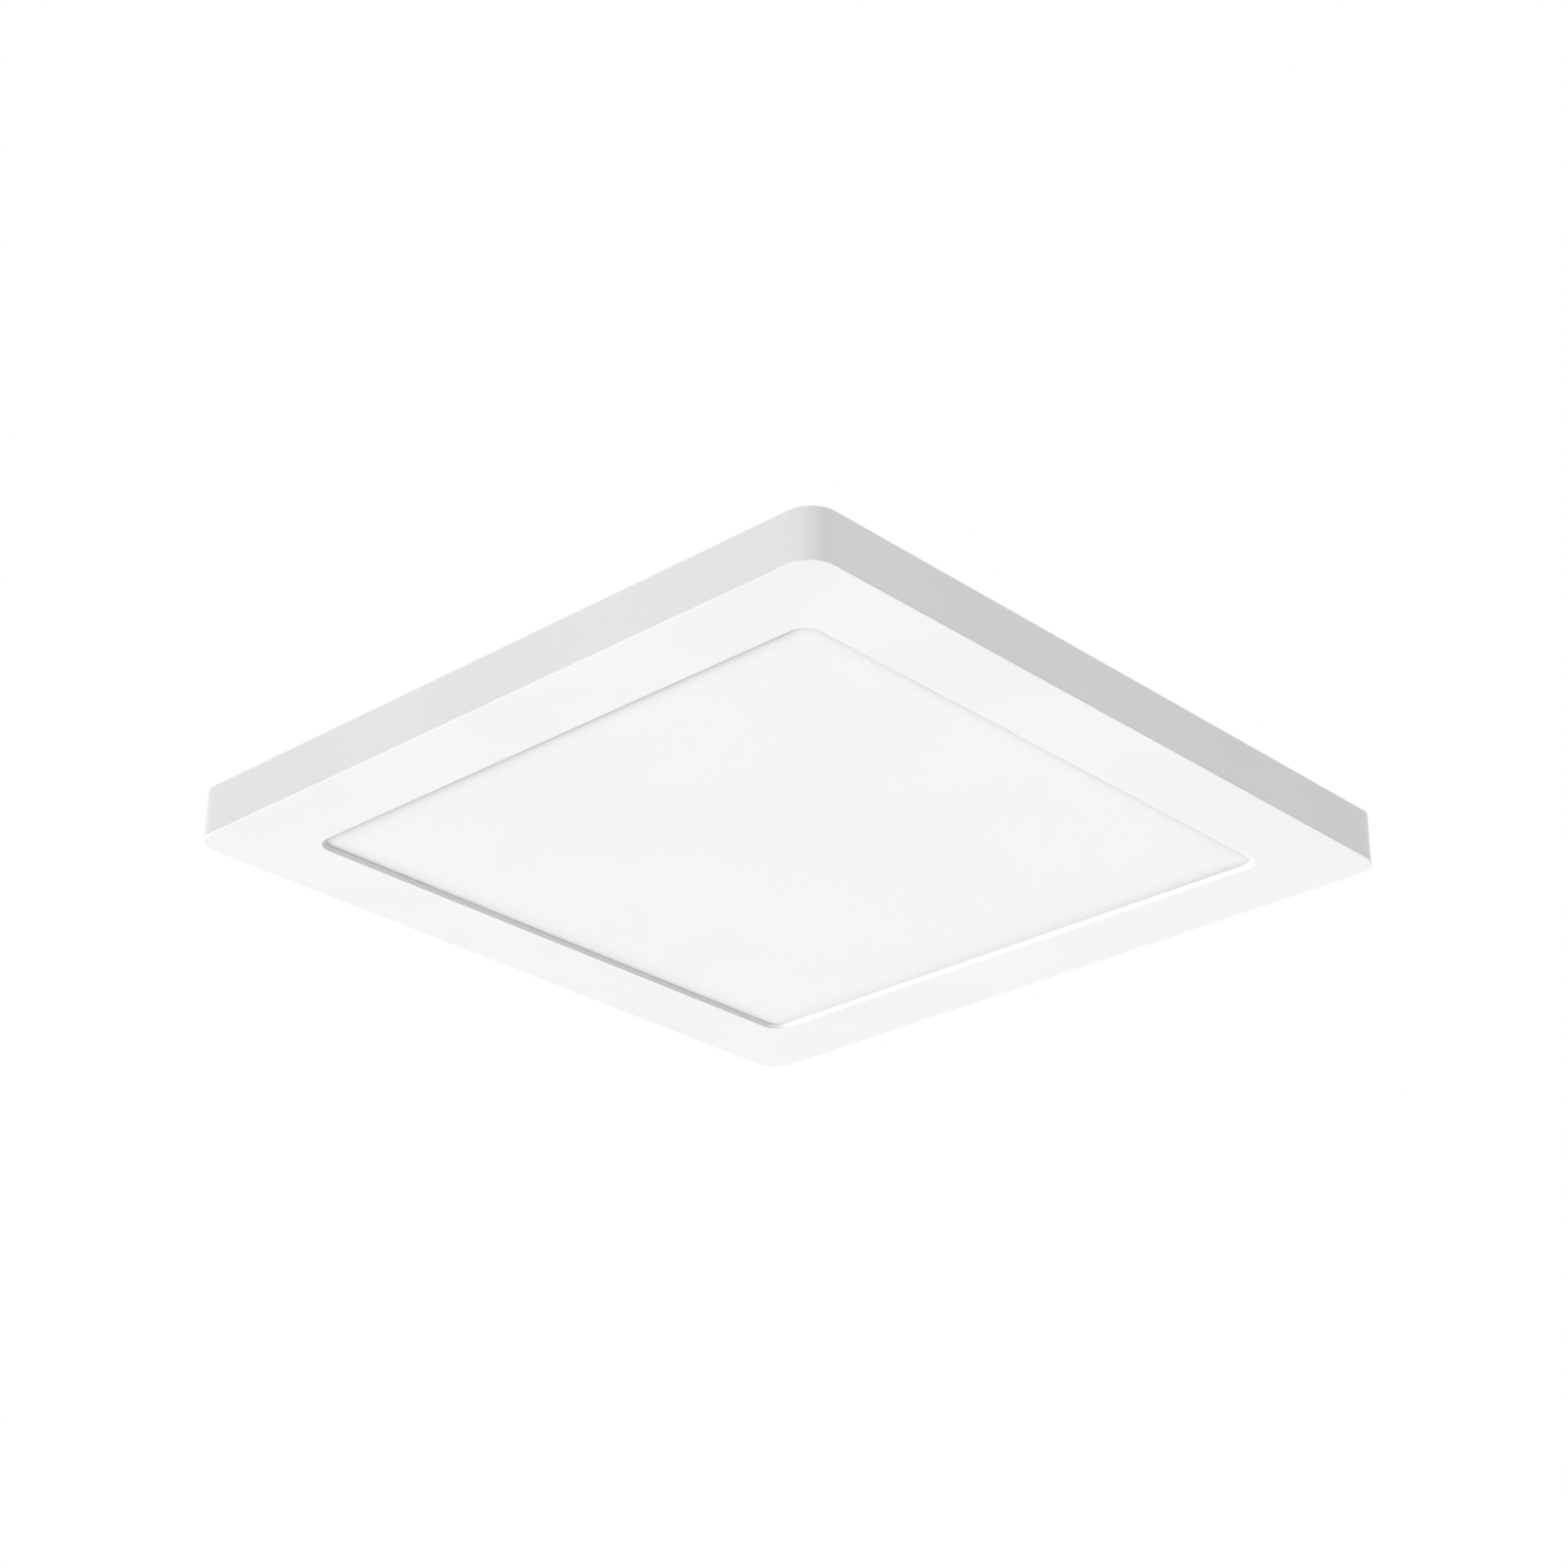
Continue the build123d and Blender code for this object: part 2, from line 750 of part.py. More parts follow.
def on_board(size, place):
    """Box-shaped component that stands on the board."""
    length, width, height = size
    return block(length, width, board_top_z, board_top_z + height, *place)


def make_transformer():
    """Core with two outer legs, and the winding between them."""
    x, y = transformer_place
    window_length = transformer_length - 2 * transformer_leg
    window_z = board_top_z + transformer_leg
    window_top_z = board_top_z + tall_component - transformer_leg
    core = on_board((transformer_length, transformer_core_width, tall_component), transformer_place)
    core -= block(window_length, transformer_core_width, window_z, window_top_z, x, y)
    winding_length = window_length - 2 * part_gap
    winding = block(winding_length, transformer_width, window_z + part_gap, window_top_z - part_gap, x, y)
    return {"transformer_core": core, "transformer_winding": winding}


def make_bulk_capacitor():
    """Large can that lies along the board, with a groove near its plug end."""
    x, y = bulk_capacitor_place
    axis_z = board_top_z + bulk_capacitor_radius
    lying = Rot(0, 90, 0)
    can = Pos(x, y, axis_z) * lying * Cylinder(bulk_capacitor_radius, bulk_capacitor_length)
    groove_x = x + bulk_capacitor_length / 2 - bulk_groove_place
    ring = Torus(bulk_capacitor_radius + bulk_groove_radius / 2, bulk_groove_radius)
    return can - Pos(groove_x, y, axis_z) * lying * ring


def make_line_choke():
    """Drum core standing on the board, narrower where the wire is wound."""
    top_z = board_top_z + choke_height
    drum = disc(choke_waist_radius, board_top_z, top_z, *choke_place)
    drum += disc(choke_flange_radius, board_top_z, board_top_z + choke_flange, *choke_place)
    drum += disc(choke_flange_radius, top_z - choke_flange, top_z, *choke_place)
    return drum


def make_varistor():
    """Round disc that stands on its edge."""
    x, y = varistor_place
    standing = Pos(x, y, board_top_z + varistor_radius) * Rot(90, 0, 0)
    return standing * Cylinder(varistor_radius, varistor_thickness)


def make_components():
    """Everything that is soldered to the driver board."""
    tall_can = disc(output_capacitor_radius, board_top_z, board_top_z + tall_component)
    film_size = (film_capacitor_length, film_capacitor_width, tall_component)
    output_size = (output_connector_length, connector_depth, output_connector_height)
    selector_size = (selector_connector_length, connector_depth, selector_connector_height)
    nodes = make_transformer()
    nodes["bulk_capacitor"] = make_bulk_capacitor()
    nodes["line_choke"] = make_line_choke()
    nodes["output_capacitors"] = around(output_capacitor_places, tall_can)
    nodes["film_capacitor"] = on_board(film_size, film_capacitor_place)
    nodes["bridge_rectifier"] = on_board(bridge_size, bridge_place)
    nodes["power_transistor"] = on_board(transistor_size, transistor_place)
    nodes["control_chip"] = on_board(chip_size, chip_place)
    nodes["fuse"] = disc(fuse_radius, board_top_z, board_top_z + fuse_height, *fuse_place)
    nodes["varistor"] = make_varistor()
    nodes["output_connector"] = on_board(output_size, (output_connector_x, connector_y))
    nodes["selector_connector"] = on_board(selector_size, (selector_connector_x, connector_y))
    return nodes


def terminal_places():
    """Centres of the three wells for the supply wires."""
    return [(index * terminal_pitch, terminal_y) for index in (-1, 0, 1)]


def make_terminal_block():
    """Push-in terminal block that shows through the case's window."""
    top_z = case_top_z + terminal_stand
    body = block(terminal_length, terminal_width, board_top_z, top_z, 0, terminal_y)
    well = block(terminal_well, terminal_well, top_z - terminal_well_depth, top_z)
    for hole in around(terminal_places(), well):
        body -= hole
    return body


def make_terminal_contacts():
    """Spring leaf at the side of each well."""
    floor_z = case_top_z + terminal_stand - terminal_well_depth
    leaf_y = (terminal_well - contact_thickness) / 2
    leaf_length = terminal_well - 2 * part_gap
    leaf = block(leaf_length, contact_thickness, floor_z, floor_z + contact_height, 0, leaf_y)
    return around(terminal_places(), leaf)


# ---------------------------------------------------------------- selector


def make_selector():
    """Slide switch under the back plate, its board, spacers, screws and knob."""
    board = block(selector_board_length, selector_board_width,
                  foam_z, selector_board_top_z, 0, selector_y)
    board_hole = disc(selector_screw_radius + hole_gap, foam_z, selector_board_top_z)
    for hole in around(selector_screw_places(), board_hole):
        board -= hole
    switch = block(switch_length, switch_width, selector_board_top_z, switch_top_z, 0, selector_y)
    base_length = knob_length + 2 * knob_base_extra
    base_width = knob_width + 2 * knob_base_extra
    pocket_floor_z = selector_board_top_z + switch_wall
    pocket_length = base_length + selector_travel + 2 * part_gap
    pocket_width = base_width + 2 * part_gap
    switch -= block(pocket_length, pocket_width, pocket_floor_z, switch_top_z, 0, selector_y)
    spacer = disc(selector_screw_radius + spacer_wall, selector_board_top_z, plate_z)
    spacer -= disc(selector_screw_radius + thread_gap, selector_board_top_z, plate_z)
    screw = pan_head_screw(selector_screw_radius, selector_screw_head_radius,
                           selector_screw_head_height, plate_top_z, foam_z + part_gap)
    base_z = pocket_floor_z + part_gap / 2
    knob = block(base_length, base_width, base_z, switch_top_z - part_gap, 0, selector_y)
    knob_top_z = plate_top_z + knob_stand
    knob += block(knob_length, knob_width, base_z, knob_top_z, 0, selector_y)
    groove_z = knob_top_z - knob_groove_depth
    for index in (-1, 0, 1):
        groove_x = index * knob_groove_pitch
        knob -= block(knob_groove_width, knob_width, groove_z, knob_top_z, groove_x, selector_y)
    return {
        "selector_board": board,
        "selector_switch": switch,
        "selector_spacers": around(selector_screw_places(), spacer),
        "selector_screws": around(selector_screw_places(), screw),
        "selector_knob": knob,
    }


# ---------------------------------------------------------------- bracket


def make_mounting_bracket():
    """Steel disc for the ceiling box, with three hooks bent down at its rim."""
    bracket = disc(bracket_radius, bracket_under_z, 0)
    bracket += disc(collar_radius, collar_z, bracket_under_z)
    bracket -= disc(bracket_hole_radius, collar_z, 0)
    half = arc_angle(hook_width / 2)
    relief = arc_angle(relief_width)
    foot = arc_angle(hook_foot_length)
    inner = bracket_radius - bracket_thickness
    for angle in hook_angles():
        for side in (-1, 1):
            notch_middle = angle + side * (half + relief / 2)
            start = notch_middle - relief / 2
            end = notch_middle + relief / 2
            notch_inner = bracket_radius - relief_depth
            notch_outer = bracket_radius + bracket_thickness
            bracket -= ring_sector(notch_inner, notch_outer, start, end, bracket_under_z, 0)
        bracket += ring_sector(inner, bracket_radius, angle - half, angle + half, hook_foot_z, 0)
        foot_start = angle - half - foot
        bracket += ring_sector(inner, bracket_radius, foot_start, angle - half,
                               hook_foot_z, hook_foot_top_z)
    for side in (-1, 1):
        slot = Pos(side * box_screw_spacing / 2, 0) * SlotOverall(box_slot_length, box_slot_width)
        bracket -= raised(slot, bracket_under_z, 0)
    x, y = polar(ground_screw_place, ground_screw_angle)
    bracket -= disc(ground_screw_radius + thread_gap, bracket_under_z, 0, x, y)
    return bracket


def make_ground_screw():
    """Screw for the earth wire, with its slotted hexagon head below the bracket."""
    place = polar(ground_screw_place, ground_screw_angle)
    head_z = bracket_under_z - ground_screw_head_height
    screw = disc(ground_screw_radius, bracket_under_z, ground_screw_tip)
    screw += raised(RegularPolygon(ground_screw_head_radius, 6), head_z, bracket_under_z)
    slot_top_z = head_z + ground_screw_slot_depth
    screw -= block(2 * ground_screw_head_radius, ground_screw_slot_width, head_z, slot_top_z)
    return Pos(*place, 0) * screw


# ---------------------------------------------------------------- the whole light


def main():
    """Make every node and write it to its own file."""
    os.makedirs("parts", exist_ok=True)
    nodes = {"bezel_frame": make_bezel_frame()}
    nodes.update(make_panels())
    nodes["foam_pad"] = make_foam_pad()
    nodes.update(make_strips())
    nodes["strip_jumpers"] = make_strip_jumpers()
    nodes["back_plate"] = make_back_plate()
    nodes["back_plate_screws"] = make_back_plate_screws()
    nodes["insulation_sheet"] = make_insulation_sheet()
    nodes["driver_case"] = make_driver_case()
    nodes["driver_case_screws"] = make_driver_case_screws()
    nodes["driver_board"] = make_driver_board()
    nodes["board_standoffs"] = make_board_standoffs()
    nodes.update(make_components())
    nodes["terminal_block"] = make_terminal_block()
    nodes["terminal_contacts"] = make_terminal_contacts()
    nodes.update(make_leads())
    nodes["lead_grommet"] = make_lead_grommet()
    nodes.update(make_selector())
    nodes["mounting_bracket"] = make_mounting_bracket()
    nodes["ground_screw"] = make_ground_screw()
    for name, pieces in nodes.items():
        save(name, pieces)


main()
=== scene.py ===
"""Looks of a square flush mount ceiling light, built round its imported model.

Metres.  Z = 0 is the ceiling, the light hangs below it, and its front side faces -Y.
Patterns are drawn in millimetres on Object coordinates, so they stay on their pieces.
"""

import json
import logging
import math
from abc import ABC, abstractmethod
from collections.abc import Callable, Iterator, Mapping, Sequence
from contextlib import contextmanager
from dataclasses import dataclass, replace
from enum import Enum
from typing import Any, Optional, Union

import bpy
from mathutils import Euler, Matrix, Vector

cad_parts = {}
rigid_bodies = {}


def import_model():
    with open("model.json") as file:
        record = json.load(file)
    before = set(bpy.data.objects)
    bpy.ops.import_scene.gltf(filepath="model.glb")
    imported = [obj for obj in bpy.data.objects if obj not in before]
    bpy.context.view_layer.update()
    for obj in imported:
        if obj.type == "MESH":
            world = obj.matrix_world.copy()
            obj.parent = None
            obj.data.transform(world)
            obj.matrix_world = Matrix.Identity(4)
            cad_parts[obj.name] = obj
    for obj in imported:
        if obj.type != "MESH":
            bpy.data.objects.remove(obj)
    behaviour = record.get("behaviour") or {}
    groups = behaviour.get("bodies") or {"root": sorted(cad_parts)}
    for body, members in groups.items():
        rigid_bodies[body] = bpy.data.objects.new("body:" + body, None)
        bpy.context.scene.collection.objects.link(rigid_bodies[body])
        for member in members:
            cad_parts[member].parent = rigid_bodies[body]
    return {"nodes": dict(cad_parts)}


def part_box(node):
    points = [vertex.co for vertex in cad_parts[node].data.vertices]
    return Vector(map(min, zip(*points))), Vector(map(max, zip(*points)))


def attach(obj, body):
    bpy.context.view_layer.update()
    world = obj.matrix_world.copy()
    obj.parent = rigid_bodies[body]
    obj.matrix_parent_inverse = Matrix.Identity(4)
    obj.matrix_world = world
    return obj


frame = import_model()

log = logging.getLogger("ceiling_light")

Colour = tuple[float, float, float, float]
Point = tuple[float, float, float]
Pair = tuple[float, float]
Number = Union[float, "Signal"]
Piece = bpy.types.Object

MM = 0.001
TO_MM = 1000.0
WHITE: Colour = (1.0, 1.0, 1.0, 1.0)
BLACK: Colour = (0.0, 0.0, 0.0, 1.0)
ACRYLIC_IOR = 1.49

# The curve between a screen's values and linear light: a straight foot, then a power.
SCREEN_FOOT = 0.04045
SCREEN_FOOT_SLOPE = 12.92
SCREEN_SHIFT = 0.055
SCREEN_POWER = 2.4

# Relief and print: edges steeper than this are rounded, the corners of a printed line are
# rounded by this share of its width, and a capital has this share of the font's size.
ROUNDED_FROM = math.radians(50)
LINE_CORNER_SHARE = 0.3
CAPITAL_SHARE = 0.7
TEXT_DEPTH = 0.01 * MM


class Body(Enum):
    """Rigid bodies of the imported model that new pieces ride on."""

    BRACKET = "bracket"
    FIXTURE = "fixture"


class Along(Enum):
    """Axis in plan that a light strip runs along."""

    X = 0
    Y = 1


def screen(red: int, green: int, blue: int) -> Colour:
    """Linear colour of a value as a screen shows it.

    Args:
        red: Red from 0 to 255.
        green: Green from 0 to 255.
        blue: Blue from 0 to 255.

    Returns:
        The linear colour with full alpha.
    """
    linear = []
    for value in (red, green, blue):
        share = value / 255
        if share <= SCREEN_FOOT:
            linear.append(share / SCREEN_FOOT_SLOPE)
        else:
            linear.append(((share + SCREEN_SHIFT) / (1 + SCREEN_SHIFT)) ** SCREEN_POWER)
    return (linear[0], linear[1], linear[2], 1.0)


def grey(value: int) -> Colour:
    """Linear colour of a neutral grey from 0 to 255."""
    return screen(value, value, value)


# ------------------------------------------------------------------ shader maths


class Signal:
    """Value that leaves one socket, with arithmetic that adds Math nodes."""

    def __init__(self, graph: "Graph", socket: bpy.types.NodeSocket) -> None:
        """Wraps an output socket of a graph."""
        self.graph = graph
        self.socket = socket

    def __add__(self, other: Number) -> "Signal":
        """Sum of two numbers."""
        return self.graph.maths("ADD", self, other)

    __radd__ = __add__

    def __sub__(self, other: Number) -> "Signal":
        """This number less another."""
        return self.graph.maths("SUBTRACT", self, other)

    def __rsub__(self, other: Number) -> "Signal":
        """Another number less this one."""
        return self.graph.maths("SUBTRACT", other, self)

    def __mul__(self, other: Number) -> "Signal":
        """Product of two numbers."""
        return self.graph.maths("MULTIPLY", self, other)

    __rmul__ = __mul__

    def __truediv__(self, other: Number) -> "Signal":
        """This number divided by another."""
        return self.graph.maths("DIVIDE", self, other)

    def __neg__(self) -> "Signal":
        """This number with its sign turned."""
        return self.graph.maths("MULTIPLY", self, -1.0)

    def __abs__(self) -> "Signal":
        """This number without its sign."""
        return self.graph.maths("ABSOLUTE", self)

    def __pow__(self, other: Number) -> "Signal":
        """This number to a power."""
        return self.graph.maths("POWER", self, other)

    def __lt__(self, other: Number) -> "Signal":
        """1 where this number is the lower one, and otherwise 0."""
        return self.graph.maths("LESS_THAN", self, other)

    def __gt__(self, other: Number) -> "Signal":
        """1 where this number is the higher one, and otherwise 0."""
        return self.graph.maths("GREATER_THAN", self, other)

    def at_least(self, other: Number) -> "Signal":
        """The higher of two numbers."""
        return self.graph.maths("MAXIMUM", self, other)

    def at_most(self, other: Number) -> "Signal":
        """The lower of two numbers."""
        return self.graph.maths("MINIMUM", self, other)

    def repeat(self, pitch: float) -> "Signal":
        """Distance to the nearest whole multiple of a pitch."""
        return self.graph.maths("PINGPONG", self, pitch / 2)

    def swing(self, amount: float) -> "Signal":
        """This noise of 0 to 1 as a swing round 0 that is an amount wide."""
        return amount * (self - 0.5)

    def sibling(self, output: Union[int, str]) -> "Signal":
        """Another output of the node that this value leaves."""
        return Signal(self.graph, self.socket.node.outputs[output])


class Graph:
    """Node graph of one material or of the world."""

    def __init__(self, tree: bpy.types.NodeTree) -> None:
        """Empties a node tree, ready to be drawn."""
        self.tree = tree
        tree.nodes.clear()

    def add(
        self,
        kind: str,
        settings: Optional[Mapping[str, Any]] = None,
        inputs: Optional[Mapping[str, Any]] = None,
        output: Union[int, str] = 0,
    ) -> Signal:
        """Adds a node, sets it, and links what its sockets are given.

        Args:
            kind: Type of the node.
            settings: Properties of the node, set first.
            inputs: Values or links by the socket's name or identifier.
            output: Number, name or identifier of the socket that is returned.

        Returns:
            The chosen output socket.
        """
        node = self.tree.nodes.new(kind)
        for name, value in (settings or {}).items():
            setattr(node, name, value)
        for name, value in (inputs or {}).items():
            socket = self._socket(node.inputs, name)
            if isinstance(value, Signal):
                self.tree.links.new(value.socket, socket)
            else:
                socket.default_value = value
        return Signal(self, self._socket(node.outputs, output))

    @staticmethod
    def _socket(sockets: Any, name: Union[int, str]) -> bpy.types.NodeSocket:
        """Socket with an identifier, or else with a number or a name."""
        known = {socket.identifier: socket for socket in sockets}
        return known[name] if name in known else sockets[name]

    def maths(self, operation: str, *values: Number) -> Signal:
        """Math node on one or two numbers."""
        inputs = dict(zip(("Value", "Value_001"), values))
        return self.add("ShaderNodeMath", {"operation": operation}, inputs)

    def millimetres(self, turn: float = 0.0, stretch: Point = (1.0, 1.0, 1.0)) -> Signal:
        """Object coordinates in millimetres.

        Args:
            turn: Turn of the pattern about the upright axis, in degrees.
            stretch: Factors that the pattern's coordinates are multiplied by.

        Returns:
            The vector of the coordinates.
        """
        inputs = {
            "Vector": self.add("ShaderNodeTexCoord", output="Object"),
            "Rotation": (0.0, 0.0, math.radians(turn)),
            "Scale": tuple(TO_MM * factor for factor in stretch),
        }
        return self.add("ShaderNodeMapping", {"vector_type": "POINT"}, inputs)

    def split(self, vector: Signal) -> tuple[Signal, Signal, Signal]:
        """The three numbers of a vector."""
        first = self.add("ShaderNodeSeparateXYZ", inputs={"Vector": vector})
        return (first, first.sibling(1), first.sibling(2))

    def noise(self, place: Signal, scale: float, detail: float = 2.0, rough: float = 0.5,
              output: str = "Fac") -> Signal:
        """Soft noise by patches per millimetre, finer octaves and the share that each keeps."""
        inputs = {"Vector": place, "Scale": scale, "Detail": detail, "Roughness": rough}
        return self.add("ShaderNodeTexNoise", {"noise_dimensions": "3D"}, inputs, output)

    def cells(self, place: Signal, scale: float, output: str = "Distance",
              metric: str = "EUCLIDEAN") -> Signal:
        """Cell pattern by cells per millimetre, the output used and the measure of distance."""
        settings = {"feature": "F1", "distance": metric}
        return self.add("ShaderNodeTexVoronoi", settings, {"Vector": place, "Scale": scale}, output)

    def smooth(self, value: Signal, low: float, high: float) -> Signal:
        """Soft step.

        Args:
            value: The number that is tested.
            low: Where the step starts, with 0 below.
            high: Where the step ends, with 1 above.

        Returns:
            The step.
        """
        settings = {"interpolation_type": "SMOOTHSTEP", "clamp": True}
        inputs = {"Value": value, "From Min": low, "From Max": high, "To Min": 0.0, "To Max": 1.0}
        return self.add("ShaderNodeMapRange", settings, inputs)

    def blend(self, share: Number, first: Union[Colour, Signal],
              second: Union[Colour, Signal]) -> Signal:
        """Colour between two others.

        Args:
            share: 0 for the first colour, 1 for the second.
            first: A colour.
            second: A colour.

        Returns:
            The blended colour.
        """
        settings = {"data_type": "RGBA", "blend_type": "MIX", "clamp_factor": True}
        inputs = {"Factor_Float": share, "A_Color": first, "B_Color": second}
        return self.add("ShaderNodeMix", settings, inputs, "Result_Color")

    def bump(self, height: Signal, depth_mm: float, under: Optional[Signal] = None) -> Signal:
        """Normal of a surface with a relief.

        Args:
            height: Relief from 0 to 1.
            depth_mm: Height in millimetres of the relief's value of 1.
            under: Normal of a coarser relief below this one.

        Returns:
            The normal.
        """
        inputs: dict[str, Any] = {"Height": height, "Distance": depth_mm * MM, "Strength": 1.0}
        if under is not None:
            inputs["Normal"] = under
        return self.add("ShaderNodeBump", inputs=inputs)

    def surface(self, inputs: Mapping[str, Any]) -> None:
        """Principled shader with these inputs, linked to the material's output."""
        shader = self.add("ShaderNodeBsdfPrincipled", inputs=inputs)
        self.add_output("ShaderNodeOutputMaterial", shader)

    def add_output(self, kind: str, shader: Signal) -> None:
        """Output node of the graph, linked to a shader."""
        node = self.tree.nodes.new(kind)
        self.tree.links.new(shader.socket, node.inputs["Surface"])


def length(x: Signal, y: Signal) -> Signal:
    """Length of a line that runs so far along two axes."""
    return (x ** 2 + y ** 2) ** 0.5


def between(share: Signal, first: float, second: float) -> Signal:
    """Number between two others: the first at a share of 0, the second at 1."""
    return first + (second - first) * share


# ------------------------------------------------------------------ finishes


@dataclass(frozen=True)
class Finish(ABC):
    """One finish: a named material that is drawn with nodes."""

    name: str
    colour: Colour

    @abstractmethod
    def paint(self, graph: Graph) -> None:
        """Draws the finish into a material's graph."""

    def shade(self, share: float) -> Colour:
        """The finish's own colour times a share, at most white."""
        red, green, blue = (min(1.0, share * part) for part in self.colour[:3])
        return (red, green, blue, 1.0)

    def material(self) -> bpy.types.Material:
        """The finish's material, made once.

        Returns:
            The material.
        """
        found = bpy.data.materials.get(self.name)
        if found is not None:
            return found
        made = bpy.data.materials.new(self.name)
        made.use_nodes = True
        made.diffuse_color = self.colour
        self.paint(Graph(made.node_tree))
        return made


@dataclass(frozen=True)
class PowderCoat(Finish):
    """White powder coat on cast metal: a faint orange peel and a soft, even gloss."""

    roughness: float = 0.42
    peel_mm: float = 0.9
    peel_depth_mm: float = 0.006
    grain_per_peel: float = 5.0
    drift_per_mm: float = 0.018
    drift_range: Pair = (0.35, 0.7)
    dull_share: float = 0.975
    ior: float = 1.5

    def paint(self, graph: Graph) -> None:
        """Draws the peel, its finer grain and a slow change of tone.

        Args:
            graph: The material's graph.
        """
        place = graph.millimetres()
        peel = graph.noise(place, 1 / self.peel_mm, detail=1.0)
        grain = graph.noise(place, self.grain_per_peel / self.peel_mm)
        drift = graph.noise(place, self.drift_per_mm, detail=1.0)
        dull = graph.smooth(drift, *self.drift_range)
        graph.surface({
            "Base Color": graph.blend(dull, self.colour, self.shade(self.dull_share)),
            "Roughness": self.roughness + grain.swing(0.08) + drift.swing(0.06),
            "Normal": graph.bump(0.75 * peel + 0.25 * grain, self.peel_depth_mm),
            "IOR": self.ior,
        })


@dataclass(frozen=True)
class OpalAcrylic(Finish):
    """Milky acrylic with a satin surface, with painted shade along the lip that it lies on.

    The painted shade is narrow and deep along the left and front of the lip, wider and shallower
    along its right and rear, and weaker along its front.
    """

    lip_half_mm: float = 118.1
    lip_corner_mm: float = 6.0
    shade_near: float = 0.52
    shade_far: float = 0.21
    reach_near_mm: float = 1.6
    reach_far_mm: float = 3.2
    turn_mm: Pair = (-110.0, 110.0)
    front_share: float = 0.62
    front_to_mm: Pair = (-118.0, -108.0)
    roughness: float = 0.38
    satin_per_mm: float = 3.0
    satin_depth_mm: float = 0.0015
    drift_per_mm: float = 0.012
    drift_range: Pair = (0.3, 0.75)
    cloudy_share: float = 0.985

    def from_lip(self, x: Signal, y: Signal) -> Signal:
        """Distance inwards from the lip's rounded square.

        Args:
            x: Place along the first axis in millimetres.
            y: Place along the second axis in millimetres.

        Returns:
            The distance in millimetres, never below 0.
        """
        straight = self.lip_half_mm - self.lip_corner_mm
        over_x = abs(x) - straight
        over_y = abs(y) - straight
        round_part = length(over_x.at_least(0.0), over_y.at_least(0.0))
        flat_part = over_x.at_least(over_y).at_most(0.0)
        return (self.lip_corner_mm - round_part - flat_part).at_least(0.0)

    def paint(self, graph: Graph) -> None:
        """Draws the satin grain, a slow drift of tone and painted shade along the lip.

        Args:
            graph: The material's graph.
        """
        place = graph.millimetres()
        x, y, _ = graph.split(place)
        satin = graph.noise(place, self.satin_per_mm, detail=3.0, rough=0.6)
        drift = graph.noise(place, self.drift_per_mm, detail=1.0)
        far = graph.smooth(x + y, *self.turn_mm)
        reach = between(far, self.reach_near_mm, self.reach_far_mm)
        strength = between(far, self.shade_near, self.shade_far)
        front = between(graph.smooth(y, *self.front_to_mm), self.front_share, 1.0)
        # Painted shade: the colour darkens towards the lip in place of the lip's shadow on the
        # panel, stronger and narrower at left and front
        painted_lip_shade = strength * front * graph.maths("EXPONENT", -self.from_lip(x, y) / reach)
        cloud = graph.smooth(drift, *self.drift_range)
        milk = graph.blend(cloud, self.colour, self.shade(self.cloudy_share))
        graph.surface({
            "Base Color": graph.blend(painted_lip_shade, milk, BLACK),
            "Roughness": self.roughness + satin.swing(0.1),
            "Normal": graph.bump(satin, self.satin_depth_mm),
            "IOR": ACRYLIC_IOR,
        })


@dataclass(frozen=True)
class EtchedAcrylic(Finish):
    """Clear light guide with a regular grid of etched dots that throw the light out."""

    dot_pitch_mm: float = 1.6
    dot_radius_mm: float = 0.42
    dot_core: float = 0.8
    dot_depth_mm: float = 0.01
    dot_colour: Colour = grey(250)
    haze_per_mm: float = 0.4
    through: float = 0.9

    def paint(self, graph: Graph) -> None:
        """Draws the dots as rough, slightly sunken rounds on clear plate.

        Args:
            graph: The material's graph.
        """
        place = graph.millimetres()
        x, y, _ = graph.split(place)
        from_dot = length(x.repeat(self.dot_pitch_mm), y.repeat(self.dot_pitch_mm))
        dot = 1.0 - graph.smooth(from_dot, self.dot_core * self.dot_radius_mm, self.dot_radius_mm)
        haze = graph.noise(place, self.haze_per_mm)
        graph.surface({
            "Base Color": graph.blend(dot, self.colour, self.dot_colour),
            "Roughness": 0.04 + 0.5 * dot + 0.03 * haze,
            "Normal": graph.bump(-dot, self.dot_depth_mm),
            "Transmission Weight": self.through,
            "IOR": ACRYLIC_IOR,
        })


@dataclass(frozen=True)
class MattFilm(Finish):
    """Thin plastic film or card, matt, with a faint fibre or void pattern."""

    roughness: float = 0.6
    fleck_mm: float = 0.25
    tone_step: float = 0.04
    fleck_depth_mm: float = 0.008
    wave_per_mm: float = 0.05
    wave_depth_mm: float = 0.08

    def paint(self, graph: Graph) -> None:
        """Draws flecks, slow waves of the sheet and a matt, uneven gloss.

        Args:
            graph: The material's graph.
        """
        place = graph.millimetres()
        fleck = graph.noise(place, 1 / self.fleck_mm, detail=4.0, rough=0.65)
        wave = graph.noise(place, self.wave_per_mm, detail=1.0)
        coarse = graph.bump(wave, self.wave_depth_mm)
        graph.surface({
            "Base Color": graph.blend(fleck, self.colour, self.shade(1 - self.tone_step)),
            "Roughness": self.roughness + fleck.swing(0.12),
            "Normal": graph.bump(fleck, self.fleck_depth_mm, under=coarse),
        })


